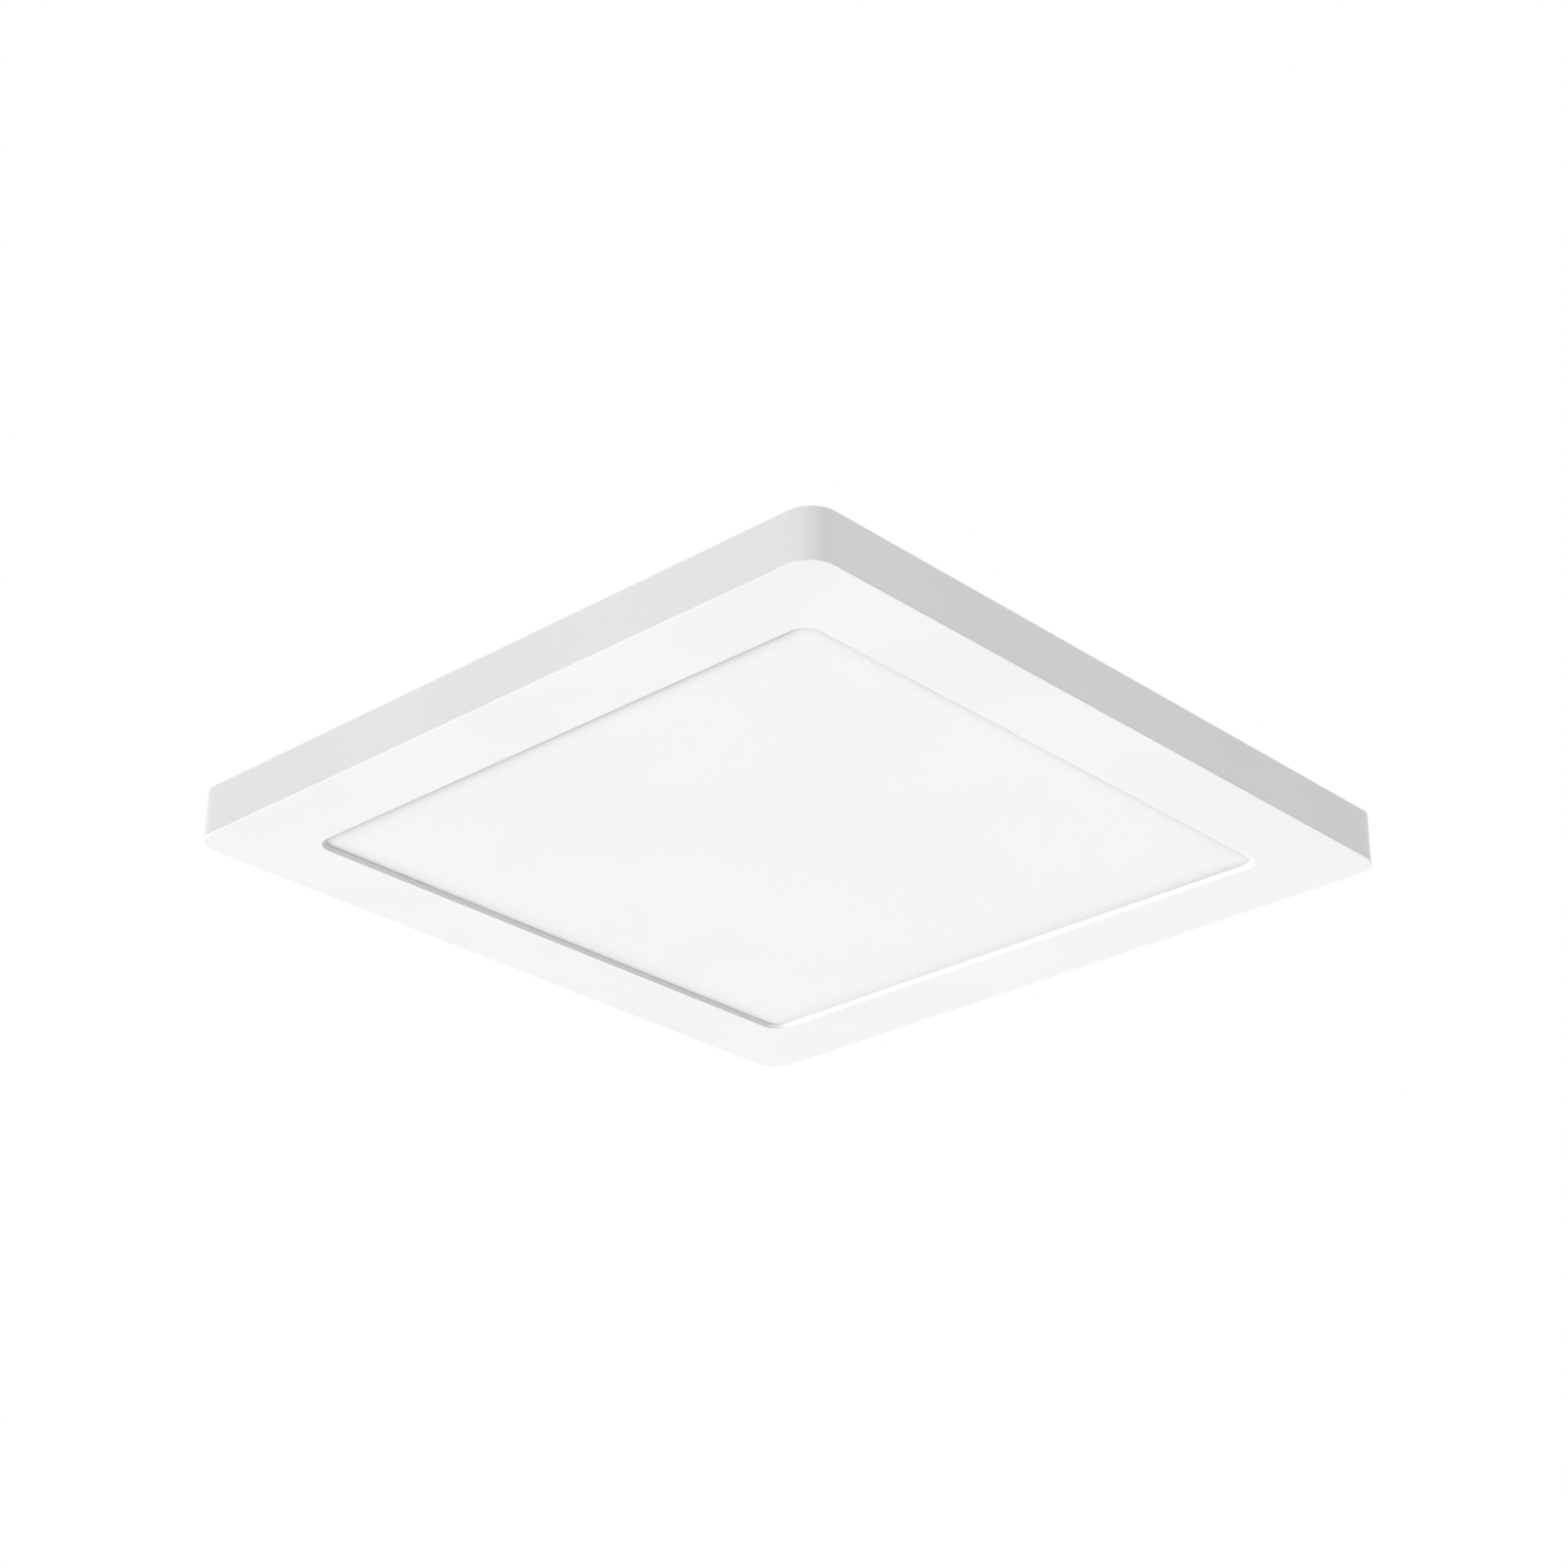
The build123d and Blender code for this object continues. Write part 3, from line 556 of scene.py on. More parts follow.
@dataclass(frozen=True)
class CellFoam(Finish):
    """Soft open foam: small pores over a matt skin."""

    pore_mm: float = 0.7
    pore_depth_mm: float = 0.25
    pore_range: Pair = (0.1, 0.5)
    fine_per_pore: float = 2.4
    fine_range: Pair = (0.05, 0.5)
    pore_shade_share: float = 0.45
    specular: float = 0.25

    def paint(self, graph: Graph) -> None:
        """Draws pores as pits of two sizes, with painted shade that darkens them.

        Args:
            graph: The material's graph.
        """
        place = graph.millimetres()
        pores = graph.smooth(graph.cells(place, 1 / self.pore_mm), *self.pore_range)
        fine = graph.smooth(graph.cells(place, self.fine_per_pore / self.pore_mm), *self.fine_range)
        # Painted shade: the colour darkens into each pore, where its shadow falls
        skin = pores * (0.6 + 0.4 * fine)
        graph.surface({
            "Base Color": graph.blend(skin, self.shade(self.pore_shade_share), self.colour),
            "Roughness": 0.82 + 0.12 * skin,
            "Normal": graph.bump(skin, self.pore_depth_mm),
            "Specular IOR Level": self.specular,
        })


@dataclass(frozen=True)
class SpangledSteel(Finish):
    """Galvanised sheet: small zinc crystals, each a shade apart, under a fine rolled grain."""

    spangle_mm: float = 5.0
    contrast: float = 0.13
    bright_share: float = 1.1
    warp_mm: float = 3.0
    warp_per_mm: float = 0.3
    rolled_stretch: Point = (0.08, 3.0, 1.0)
    rolled_per_mm: float = 1.2
    grain_per_mm: float = 2.5
    scuff_stretch: Point = (0.04, 1.4, 1.0)
    scuff_per_mm: float = 0.7
    scuff_range: Pair = (0.62, 0.74)
    tone_range: Pair = (0.2, 0.8)
    relief_mm: float = 0.012

    def paint(self, graph: Graph) -> None:
        """Draws the crystals, the rolled grain and a few long scuffs.

        Args:
            graph: The material's graph.
        """
        place = graph.millimetres()
        waves = graph.noise(place, self.warp_per_mm, output="Color")
        warp = graph.add("ShaderNodeVectorMath", {"operation": "SCALE"},
                         {"Vector": waves, "Scale": self.warp_mm})
        bent = graph.add("ShaderNodeVectorMath", {"operation": "ADD"},
                         {"Vector": place, "Vector_001": warp})
        crystal = graph.cells(bent, 1 / self.spangle_mm, output="Color")
        red = graph.add("ShaderNodeSeparateColor", inputs={"Color": crystal})
        green = red.sibling(1)
        lengthways = graph.millimetres(stretch=self.rolled_stretch)
        rolled = graph.noise(lengthways, self.rolled_per_mm, detail=4.0, rough=0.6)
        grain = graph.noise(place, self.grain_per_mm, detail=3.0, rough=0.6)
        scratched = graph.millimetres(stretch=self.scuff_stretch)
        marks = graph.noise(scratched, self.scuff_per_mm, detail=5.0, rough=0.7)
        scuff = graph.smooth(marks, *self.scuff_range)
        tone = graph.smooth(0.5 * red + 0.3 * rolled + 0.2 * grain, *self.tone_range)
        base = graph.blend(tone, self.shade(1 - self.contrast), self.colour)
        graph.surface({
            "Base Color": graph.blend(0.3 * scuff, base, self.shade(self.bright_share)),
            "Roughness": 0.36 + 0.1 * green + 0.08 * grain - 0.05 * scuff,
            "Metallic": 0.9,
            "Normal": graph.bump(0.5 * grain + 0.5 * rolled, self.relief_mm),
        })


@dataclass(frozen=True)
class PlatedSteel(Finish):
    """Zinc-plated steel: satin, with fine tumbling marks and a slight change of tint."""

    tint: Colour = (0.62, 0.66, 0.74, 1.0)
    roughness: float = 0.3
    marks: tuple[tuple[float, Point], ...] = ((18.0, (0.25, 6.0, 1.0)), (-24.0, (5.0, 0.3, 1.0)))
    mark_range: Pair = (0.42, 0.66)
    mark_depth_mm: float = 0.006
    tint_per_mm: float = 0.09
    tint_range: Pair = (0.3, 0.72)
    spots_per_mm: float = 0.9
    spot_range: Pair = (0.58, 0.75)
    dull_share: float = 0.72

    def paint(self, graph: Graph) -> None:
        """Draws crossed fine marks, patches of tint and duller spots.

        Args:
            graph: The material's graph.
        """
        place = graph.millimetres()
        first, second = (graph.noise(graph.millimetres(turn, stretch), 1.0, detail=3.0)
                         for turn, stretch in self.marks)
        marks = 0.5 * first + 0.5 * second
        patch = graph.smooth(graph.noise(place, self.tint_per_mm), *self.tint_range)
        spots = graph.smooth(graph.noise(place, self.spots_per_mm, detail=3.0), *self.spot_range)
        worn = 0.5 * spots + 0.45 * graph.smooth(marks, *self.mark_range)
        base = graph.blend(patch, self.colour, self.tint)
        graph.surface({
            "Base Color": graph.blend(worn, base, self.shade(self.dull_share)),
            "Roughness": self.roughness + marks.swing(0.16) + 0.14 * spots,
            "Metallic": 0.95 - 0.1 * spots,
            "Normal": graph.bump(marks, self.mark_depth_mm),
        })


@dataclass(frozen=True)
class MouldedPlastic(Finish):
    """Moulded plastic with an eroded grain and a slow unevenness of its gloss."""

    roughness: float = 0.5
    grain_mm: float = 0.35
    grain_depth_mm: float = 0.008
    tone_step: float = 0.05
    through: float = 0.0
    pits_per_grain: float = 0.7
    pit_range: Pair = (0.1, 0.6)
    flow_turn: float = 40.0
    flow_stretch: Point = (0.3, 1.0, 1.0)
    flow_per_mm: float = 0.08

    def paint(self, graph: Graph) -> None:
        """Draws the grain and flow marks, and paints shade into the sunken pits, which leaves the
        high spots lighter.

        Args:
            graph: The material's graph.
        """
        place = graph.millimetres()
        grain = graph.noise(place, 1 / self.grain_mm, detail=3.0, rough=0.6)
        cells = graph.cells(place, self.pits_per_grain / self.grain_mm)
        pits = graph.smooth(cells, *self.pit_range)
        flow = graph.noise(graph.millimetres(self.flow_turn, self.flow_stretch), self.flow_per_mm)
        # Flow marks change the tone; the pits get painted shade, darker where the relief sinks
        dark = 0.6 * flow + 0.4 * (1.0 - pits)
        inputs: dict[str, Any] = {
            "Base Color": graph.blend(dark, self.colour, self.shade(1 - self.tone_step)),
            "Roughness": self.roughness + grain.swing(0.1) - flow.swing(0.05),
            "Normal": graph.bump(0.6 * grain + 0.4 * pits, self.grain_depth_mm),
        }
        if self.through > 0.0:
            inputs["Transmission Weight"] = self.through
        graph.surface(inputs)


@dataclass(frozen=True)
class CircuitBoard(Finish):
    """Solder mask over copper tracks, with tinned pads."""

    track: Colour = (0.05, 0.3, 0.12, 1.0)
    pad: Colour = (0.7, 0.7, 0.68, 1.0)
    cell_mm: float = 7.0
    tracks_per_cell: float = 5.0
    track_range: Pair = (0.12, 0.2)
    pad_pitch_mm: float = 2.54
    pad_range_mm: Pair = (0.5, 0.62)
    choice_per_mm: float = 0.2
    choice_range: Pair = (0.56, 0.6)
    relief_mm: float = 0.035

    def paint(self, graph: Graph) -> None:
        """Draws right-angled tracks, round pads and the mask's gloss over them.

        Args:
            graph: The material's graph.
        """
        place = graph.millimetres()
        x, y, _ = graph.split(place)
        steps = graph.cells(place, 1 / self.cell_mm, metric="CHEBYCHEV") * self.tracks_per_cell
        track = 1.0 - graph.smooth(steps.repeat(1.0), *self.track_range)
        from_pad = length(x.repeat(self.pad_pitch_mm), y.repeat(self.pad_pitch_mm))
        chosen = graph.smooth(graph.noise(place, self.choice_per_mm), *self.choice_range)
        pad = (1.0 - graph.smooth(from_pad, *self.pad_range_mm)) * chosen
        copper = graph.blend(track, self.colour, self.track)
        graph.surface({
            "Base Color": graph.blend(pad, copper, self.pad),
            "Roughness": 0.3 + 0.08 * graph.noise(place, 1.5) - 0.08 * pad,
            "Metallic": 0.8 * pad,
            "Normal": graph.bump(track.at_least(pad), self.relief_mm),
            "Coat Weight": 0.3 - 0.3 * pad,
        })


@dataclass(frozen=True)
class StripFinish(Finish):
    """Finish of a light strip on edge, with a pattern that repeats at each chip."""

    along: Along = Along.X
    pitch_mm: float = 10.0
    middle_mm: float = 0.0

    def from_chip(self, graph: Graph, place: Signal) -> tuple[Signal, Signal]:
        """Distances from the middle of the nearest chip.

        Args:
            graph: The material's graph.
            place: Coordinates in millimetres.

        Returns:
            The distances along the strip and upwards.
        """
        axes = graph.split(place)
        along = (axes[self.along.value] + self.pitch_mm / 2).repeat(self.pitch_mm)
        return along, abs(axes[2] - self.middle_mm)


@dataclass(frozen=True)
class LightStripBoard(StripFinish):
    """White mask of a light strip with two long tracks below it and pads at each chip."""

    pad_from_mm: float = 0.5
    pad_to_mm: float = 1.3
    pad_half_mm: float = 0.9
    track_at_mm: float = 1.8
    track_range_mm: Pair = (0.35, 0.45)
    tin: Colour = grey(188)
    warm_share: float = 0.93
    relief_mm: float = 0.03

    def paint(self, graph: Graph) -> None:
        """Draws the tracks as a faint relief, and the pads in tin.

        Args:
            graph: The material's graph.
        """
        place = graph.millimetres()
        along, height = self.from_chip(graph, place)
        pad = (along < self.pad_to_mm) * (height < self.pad_half_mm) * (along > self.pad_from_mm)
        tracks = 1.0 - graph.smooth(abs(height - self.track_at_mm), *self.track_range_mm)
        base = graph.blend(0.5 * tracks, self.colour, self.shade(self.warm_share))
        graph.surface({
            "Base Color": graph.blend(pad, base, self.tin),
            "Roughness": 0.36 + 0.1 * graph.noise(place, 2.0) - 0.1 * pad,
            "Metallic": 0.85 * pad,
            "Normal": graph.bump(tracks.at_least(pad), self.relief_mm),
        })


@dataclass(frozen=True)
class PhosphorChip(StripFinish):
    """White chip package with a yellow window of phosphor in its middle."""

    package: Colour = (0.83, 0.83, 0.8, 1.0)
    window_along_mm: Pair = (1.25, 1.4)
    window_up_mm: Pair = (0.95, 1.1)
    grain_per_mm: float = 8.0
    window_depth_mm: float = 0.12

    def paint(self, graph: Graph) -> None:
        """Draws the window with soft edges, sunken a little into the package.

        Args:
            graph: The material's graph.
        """
        place = graph.millimetres()
        along, height = self.from_chip(graph, place)
        window = ((1.0 - graph.smooth(along, *self.window_along_mm))
                  * (1.0 - graph.smooth(height, *self.window_up_mm)))
        grain = graph.noise(place, self.grain_per_mm, detail=3.0)
        graph.surface({
            "Base Color": graph.blend(window, self.package, self.colour),
            "Roughness": 0.42 - 0.2 * window + 0.1 * grain,
            "Normal": graph.bump(1.0 - window + 0.1 * grain, self.window_depth_mm),
        })


@dataclass(frozen=True)
class WoundWire(Finish):
    """Enamelled copper wire wound turn beside turn."""

    wire_mm: float = 0.4
    wobble_mm: float = 0.08
    wobble_per_mm: float = 0.8
    shade_stretch: Point = (0.1, 2.5, 1.0)
    crease_shade_share: float = 0.4
    relief_mm: float = 0.12

    def paint(self, graph: Graph) -> None:
        """Draws round turns, each with its own shade of enamel, and paints shade into the creases
        between them.

        Args:
            graph: The material's graph.
        """
        place = graph.millimetres()
        _, y, z = graph.split(place)
        wobble = self.wobble_mm * graph.noise(place, self.wobble_per_mm)
        turn = (y + wobble).repeat(self.wire_mm)
        layer = z.repeat(self.wire_mm)
        round_turn = 1.0 - (turn / (self.wire_mm / 2)) ** 2
        shade = graph.noise(graph.millimetres(stretch=self.shade_stretch), 1.0, detail=1.0)
        # Painted shade: the colour darkens from the middle of each turn towards the creases between
        # turns, and the noise gives each turn its own tone
        tone_and_crease_shade = 0.35 + 0.65 * round_turn * shade
        graph.surface({
            "Base Color": graph.blend(tone_and_crease_shade, self.shade(self.crease_shade_share), self.colour),
            "Roughness": 0.28 + 0.2 * shade,
            "Metallic": 0.55 + 0.2 * round_turn,
            "Normal": graph.bump(round_turn.at_least(layer), self.relief_mm),
        })


@dataclass(frozen=True)
class ShrinkSleeve(Finish):
    """Dark sleeve without print on a capacitor, with a lighter stripe down one side."""

    stripe: Colour = (0.55, 0.56, 0.58, 1.0)
    stripe_from_mm: float = 0.0
    stripe_edge_mm: float = 0.1
    wrinkle_stretch: Point = (0.5, 3.0, 0.5)
    wrinkle_per_mm: float = 0.8
    wrinkle_depth_mm: float = 0.04
    coat: float = 0.35

    def paint(self, graph: Graph) -> None:
        """Draws the stripe, tight wrinkles and a glossy film.

        Args:
            graph: The material's graph.
        """
        _, y, _ = graph.split(graph.millimetres())
        stripe = graph.smooth(y, self.stripe_from_mm, self.stripe_from_mm + self.stripe_edge_mm)
        place = graph.millimetres(stretch=self.wrinkle_stretch)
        wrinkle = graph.noise(place, self.wrinkle_per_mm, detail=3.0)
        graph.surface({
            "Base Color": graph.blend(stripe, self.colour, self.stripe),
            "Roughness": 0.22 + 0.15 * wrinkle,
            "Normal": graph.bump(wrinkle, self.wrinkle_depth_mm),
            "Coat Weight": self.coat,
        })


class Finishes:
    """All finishes of the light, named for the pieces that have them."""

    frame_white = PowderCoat("white_powder_coat", grey(246))
    diffuser = OpalAcrylic("opal_acrylic", grey(246))
    guide = EtchedAcrylic("etched_clear_acrylic", grey(254))
    reflector = MattFilm("white_reflector_film", grey(248), roughness=0.5)
    foam = CellFoam("grey_cell_foam", grey(120))
    tape = MattFilm("grey_thermal_tape", grey(176), roughness=0.7, fleck_mm=0.4, tone_step=0.12)
    strip_x = LightStripBoard("white_strip_board_across", grey(240), Along.X)
    strip_y = LightStripBoard("white_strip_board_deep", grey(240), Along.Y)
    chips_x = PhosphorChip("phosphor_chips_across", screen(238, 206, 92), Along.X)
    chips_y = PhosphorChip("phosphor_chips_deep", screen(238, 206, 92), Along.Y)
    plate_steel = SpangledSteel("galvanised_spangle", screen(182, 187, 191))
    bracket_steel = PlatedSteel(
        "zinc_plated_bracket", screen(194, 198, 204), (0.46, 0.5, 0.58, 1.0))
    screw_steel = PlatedSteel("zinc_plated_screws", screen(196, 200, 205), roughness=0.26)
    green_screw = PlatedSteel("green_dyed_zinc", screen(38, 132, 70), (0.05, 0.3, 0.1, 1.0))
    case_white = MouldedPlastic("white_case_plastic", grey(238), roughness=0.52)
    insulation = MattFilm("black_insulation_film", grey(38), roughness=0.35, fleck_mm=0.5)
    board = CircuitBoard("green_circuit_board", screen(20, 92, 52))
    nylon = MouldedPlastic("natural_nylon", screen(233, 229, 216), roughness=0.36, through=0.15)
    ferrite = MouldedPlastic(
        "black_ferrite", grey(52), roughness=0.6, grain_mm=0.2, tone_step=0.2)
    copper = WoundWire("copper_winding_wire", screen(196, 112, 62))
    sleeve_large = ShrinkSleeve("capacitor_sleeve_large", screen(24, 28, 38), stripe_from_mm=9.2)
    sleeve_small = ShrinkSleeve("capacitor_sleeve_small", screen(24, 28, 38), stripe_from_mm=-2.4)
    film_yellow = MouldedPlastic("yellow_film_case", screen(226, 182, 52), roughness=0.34)
    package = MouldedPlastic("black_chip_package", grey(40), roughness=0.55, grain_mm=0.15)
    fuse = MouldedPlastic("brown_fuse_cap", screen(96, 62, 42), roughness=0.38)
    varistor = MouldedPlastic(
        "blue_varistor_lacquer", screen(42, 84, 160), roughness=0.3, tone_step=0.15)
    terminal = MouldedPlastic("orange_terminal_plastic", screen(226, 116, 40), roughness=0.42)
    brass = PlatedSteel("brass_contacts", screen(206, 170, 98), (0.5, 0.36, 0.12, 1.0))
    connector = MouldedPlastic("white_connector_plastic", screen(236, 234, 226), roughness=0.45)
    lead_red = MouldedPlastic("red_wire_sheath", screen(190, 34, 32), roughness=0.36, grain_mm=0.2)
    lead_black = MouldedPlastic("black_wire_sheath", grey(34), roughness=0.36, grain_mm=0.2)
    lead_white = MouldedPlastic("white_wire_sheath", grey(236), roughness=0.36, grain_mm=0.2)
    rubber = MouldedPlastic("black_rubber", grey(36), roughness=0.68, grain_mm=0.3, tone_step=0.2)
    knob = MouldedPlastic("black_knob_plastic", grey(36), roughness=0.45, grain_mm=0.25)
    print_black = MattFilm("black_print", grey(40), roughness=0.5, fleck_mm=0.15, tone_step=0.2)


# ------------------------------------------------------------------ modelling helpers


def newest() -> Piece:
    """The piece that an operator has just added."""
    return bpy.context.view_layer.objects.active


def select_only(*pieces: Piece) -> None:
    """Selects pieces alone, so that an operator acts on nothing else.

    Args:
        pieces: The pieces; the first of them becomes the active one.
    """
    for piece in bpy.context.view_layer.objects:
        piece.select_set(piece in pieces)
    if pieces:
        bpy.context.view_layer.objects.active = pieces[0]


def settle(piece: Piece) -> Piece:
    """Moves a piece's place, turn and size into its mesh.

    Args:
        piece: The piece.

    Returns:
        The piece.
    """
    bpy.context.view_layer.update()
    piece.data.transform(piece.matrix_world)
    piece.matrix_world = Matrix.Identity(4)
    return piece


def add_mesh(add: Callable[..., Any], centre: Point, scale: Point = (1.0, 1.0, 1.0),
             turn: float = 0.0, **settings: Any) -> Piece:
    """Adds a simple mesh, with its place in its vertices.

    Args:
        add: Operator that adds it.
        centre: Its middle.
        scale: Factors of its size.
        turn: Its turn about the upright axis, in radians.
        settings: What else the operator is given.

    Returns:
        The mesh.
    """
    select_only()
    add(location=centre, **settings)
    piece = newest()
    piece.scale = scale
    piece.rotation_euler = (0.0, 0.0, turn)
    return settle(piece)


def join(pieces: Sequence[Piece], name: str) -> Piece:
    """Joins finished meshes into one named piece.

    Args:
        pieces: The meshes.
        name: Name of the joined piece.

    Returns:
        The joined piece.
    """
    select_only(*pieces)
    bpy.ops.object.join()
    joined = newest()
    joined.name = name
    joined.data.name = name
    return joined


def join_round(first: Piece, count: int, name: str) -> Piece:
    """Repeats a piece evenly round the upright axis and joins the copies.

    Args:
        first: The piece.
        count: How many there are in the end.
        name: Name of the joined piece.

    Returns:
        The joined piece.
    """
    pieces = [first]
    for index in range(1, count):
        mesh = first.data.copy()
        mesh.transform(Matrix.Rotation(math.radians(360.0 / count * index), 4, "Z"))
        copy = bpy.data.objects.new(first.name, mesh)
        bpy.context.scene.collection.objects.link(copy)
        pieces.append(copy)
    return join(pieces, name)


@contextmanager
def editing(piece: Piece) -> Iterator[None]:
    """Edit mode on one piece, with all of its faces selected at the start.

    Args:
        piece: The mesh to edit.
    """
    select_only(piece)
    bpy.ops.object.mode_set(mode="EDIT")
    bpy.ops.mesh.select_mode(type="FACE")
    bpy.ops.mesh.select_all(action="SELECT")
    yield
    bpy.ops.object.mode_set(mode="OBJECT")


def keep_faces(piece: Piece, wanted: Callable[[Vector], bool]) -> None:
    """Deletes the faces whose centres aren't wanted.

    Args:
        piece: The mesh, in object mode.
        wanted: Test of a face's centre.
    """
    with editing(piece):
        bpy.ops.mesh.select_all(action="DESELECT")
    for face in piece.data.polygons:
        face.select = not wanted(face.center)
    bpy.ops.object.mode_set(mode="EDIT")
    bpy.ops.mesh.delete(type="FACE")
    bpy.ops.object.mode_set(mode="OBJECT")


def hollow(piece: Piece, border: float) -> None:
    """Cuts the middle out of a flat outline.

    Args:
        piece: The outline.
        border: Width of the border that stays.
    """
    with editing(piece):
        bpy.ops.mesh.inset(thickness=border)
        bpy.ops.mesh.delete(type="FACE")


def finish_with(piece: Piece, kind: str, settings: Mapping[str, Any]) -> None:
    """Adds a modifier to a piece and applies it.

    Args:
        piece: The mesh.
        kind: Type of the modifier.
        settings: Properties of the modifier.
    """
    modifier = piece.modifiers.new(kind.lower(), kind)
    for name, value in settings.items():
        setattr(modifier, name, value)
    select_only(piece)
    bpy.ops.object.modifier_apply(modifier=modifier.name)


def thicken(piece: Piece, height: float, soften: float = 0.0) -> None:
    """Raises a flat outline to a height and rounds its upper edges.

    Args:
        piece: The flat outline, whose faces point up.
        height: Height of the finished relief.
        soften: Radius of the rounding, or 0 for sharp edges.
    """
    finish_with(piece, "SOLIDIFY", {"thickness": height, "offset": 1.0})
    if soften > 0.0:
        settings = {"width": soften, "segments": 2, "limit_method": "ANGLE"}
        finish_with(piece, "BEVEL", {**settings, "angle_limit": ROUNDED_FROM})


def flat_disc(radius: float, centre: Point, corners: int = 96) -> Piece:
    """Flat disc, or with few corners a polygon, that faces up."""
    return add_mesh(bpy.ops.mesh.primitive_circle_add, centre,
                    vertices=corners, radius=radius, fill_type="NGON")


def flat_ring(inner: float, outer: float, level: float, corners: int = 96) -> Piece:
    """Flat ring round the upright axis.

    Args:
        inner: Inner radius.
        outer: Outer radius.
        level: Height that it lies at.
        corners: Number of corners of its outline.

    Returns:
        The ring.
    """
    ring = flat_disc(outer, (0.0, 0.0, level), corners)
    hollow(ring, outer - inner)
    return ring


def soft_block(size: Point, centre: Point, soften: float) -> Piece:
    """Block with rounded edges.

    Args:
        size: Its length, width and height.
        centre: Its middle.
        soften: Radius of its edges.

    Returns:
        The block.
    """
    block = add_mesh(bpy.ops.mesh.primitive_cube_add, centre, size, size=1.0)
    with editing(block):
        bpy.ops.mesh.bevel(offset=soften, segments=2)
    return block


def printed_line(start: Point, end: Point, width: float, ink: float) -> Piece:
    """Thin printed line between two points at one height, with softened corners.

    Args:
        start: First point.
        end: Second point.
        width: Width of the line.
        ink: Thickness of the print.

    Returns:
        The line.
    """
    along = Vector(end) - Vector(start)
    x, y, z = (Vector(start) + Vector(end)) / 2
    turn = math.atan2(along.y, along.x)
    scale = (along.length, width, 1.0)
    line = add_mesh(bpy.ops.mesh.primitive_plane_add, (x, y, z), scale, turn, size=1.0)
    with editing(line):
        bpy.ops.mesh.bevel(offset=LINE_CORNER_SHARE * width, segments=3, affect="VERTICES")
    thicken(line, ink)
    return line


def printed_text(words: str, height: float, centre: Point) -> Piece:
    """Flat printed characters that face up.

    Args:
        words: The characters.
        height: Height of the capitals.
        centre: Middle of the words.

    Returns:
        The mesh of the characters.
    """
    select_only()
    bpy.ops.object.text_add(location=centre)
    text = newest().data
    text.body = words
    text.size = height / CAPITAL_SHARE
    text.align_x = "CENTER"
    text.align_y = "CENTER"
    text.extrude = TEXT_DEPTH
    bpy.ops.object.convert(target="MESH")
    return settle(newest())


def complete(piece: Piece, finish: Finish, body: Body) -> Piece:
    """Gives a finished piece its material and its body.

    Args:
        piece: The piece.
        finish: Its finish.
        body: The body that it rides on.

    Returns:
        The piece.
    """
    piece.data.materials.clear()
    piece.data.materials.append(finish.material())
    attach(piece, body.value)
    return piece


# ------------------------------------------------------------------ sub-assemblies


@dataclass
class SubAssembly(ABC):
    """Nodes that belong together, and the new pieces that are modelled on them."""

    @abstractmethod
    def finishes(self) -> dict[str, Finish]:
        """Finish of each node."""

    def dress(self) -> None:
        """Gives all material slots of each node its finish."""
        for node, finish in self.finishes().items():
            piece = frame["nodes"][node]
            if not piece.material_slots:
                piece.data.materials.append(finish.material())
            for slot in piece.material_slots:
                slot.material = finish.material()

    def build(self) -> list[Piece]:
        """Models the new pieces, if there are any."""
        return []


@dataclass
class FrameAndPanels(SubAssembly):
    """White frame with the opal diffuser, guide plate, reflector and foam behind its lip."""

    def finishes(self) -> dict[str, Finish]:
        """Finish of the frame and of the stacked panels."""
        return {
            "bezel_frame": Finishes.frame_white,
            "diffuser_panel": Finishes.diffuser,
            "light_guide_plate": Finishes.guide,
            "reflector_sheet": Finishes.reflector,
            "foam_pad": Finishes.foam,
        }


@dataclass
class LightStrips(SubAssembly):
    """Four circuit strips on edge, with their chips, tapes and jumper wires."""

    across: tuple[str, ...] = ("front", "rear")
    deep: tuple[str, ...] = ("left", "right")

    def finishes(self) -> dict[str, Finish]:
        """Finish of strips and chips by the axis that they run along, of tapes and of wires.

        Returns:
            The finishes by node.
        """
        low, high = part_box("led_chips_front")
        level = TO_MM * (low.z + high.z) / 2
        found: dict[str, Finish] = {}
        for side in (*self.across, *self.deep):
            across = side in self.across
            strip = Finishes.strip_x if across else Finishes.strip_y
            chips = Finishes.chips_x if across else Finishes.chips_y
            found[f"led_strip_{side}"] = replace(strip, middle_mm=level)
            found[f"led_chips_{side}"] = replace(chips, middle_mm=level)
        return {**found, "thermal_tape": Finishes.tape, "strip_jumpers": Finishes.lead_white}


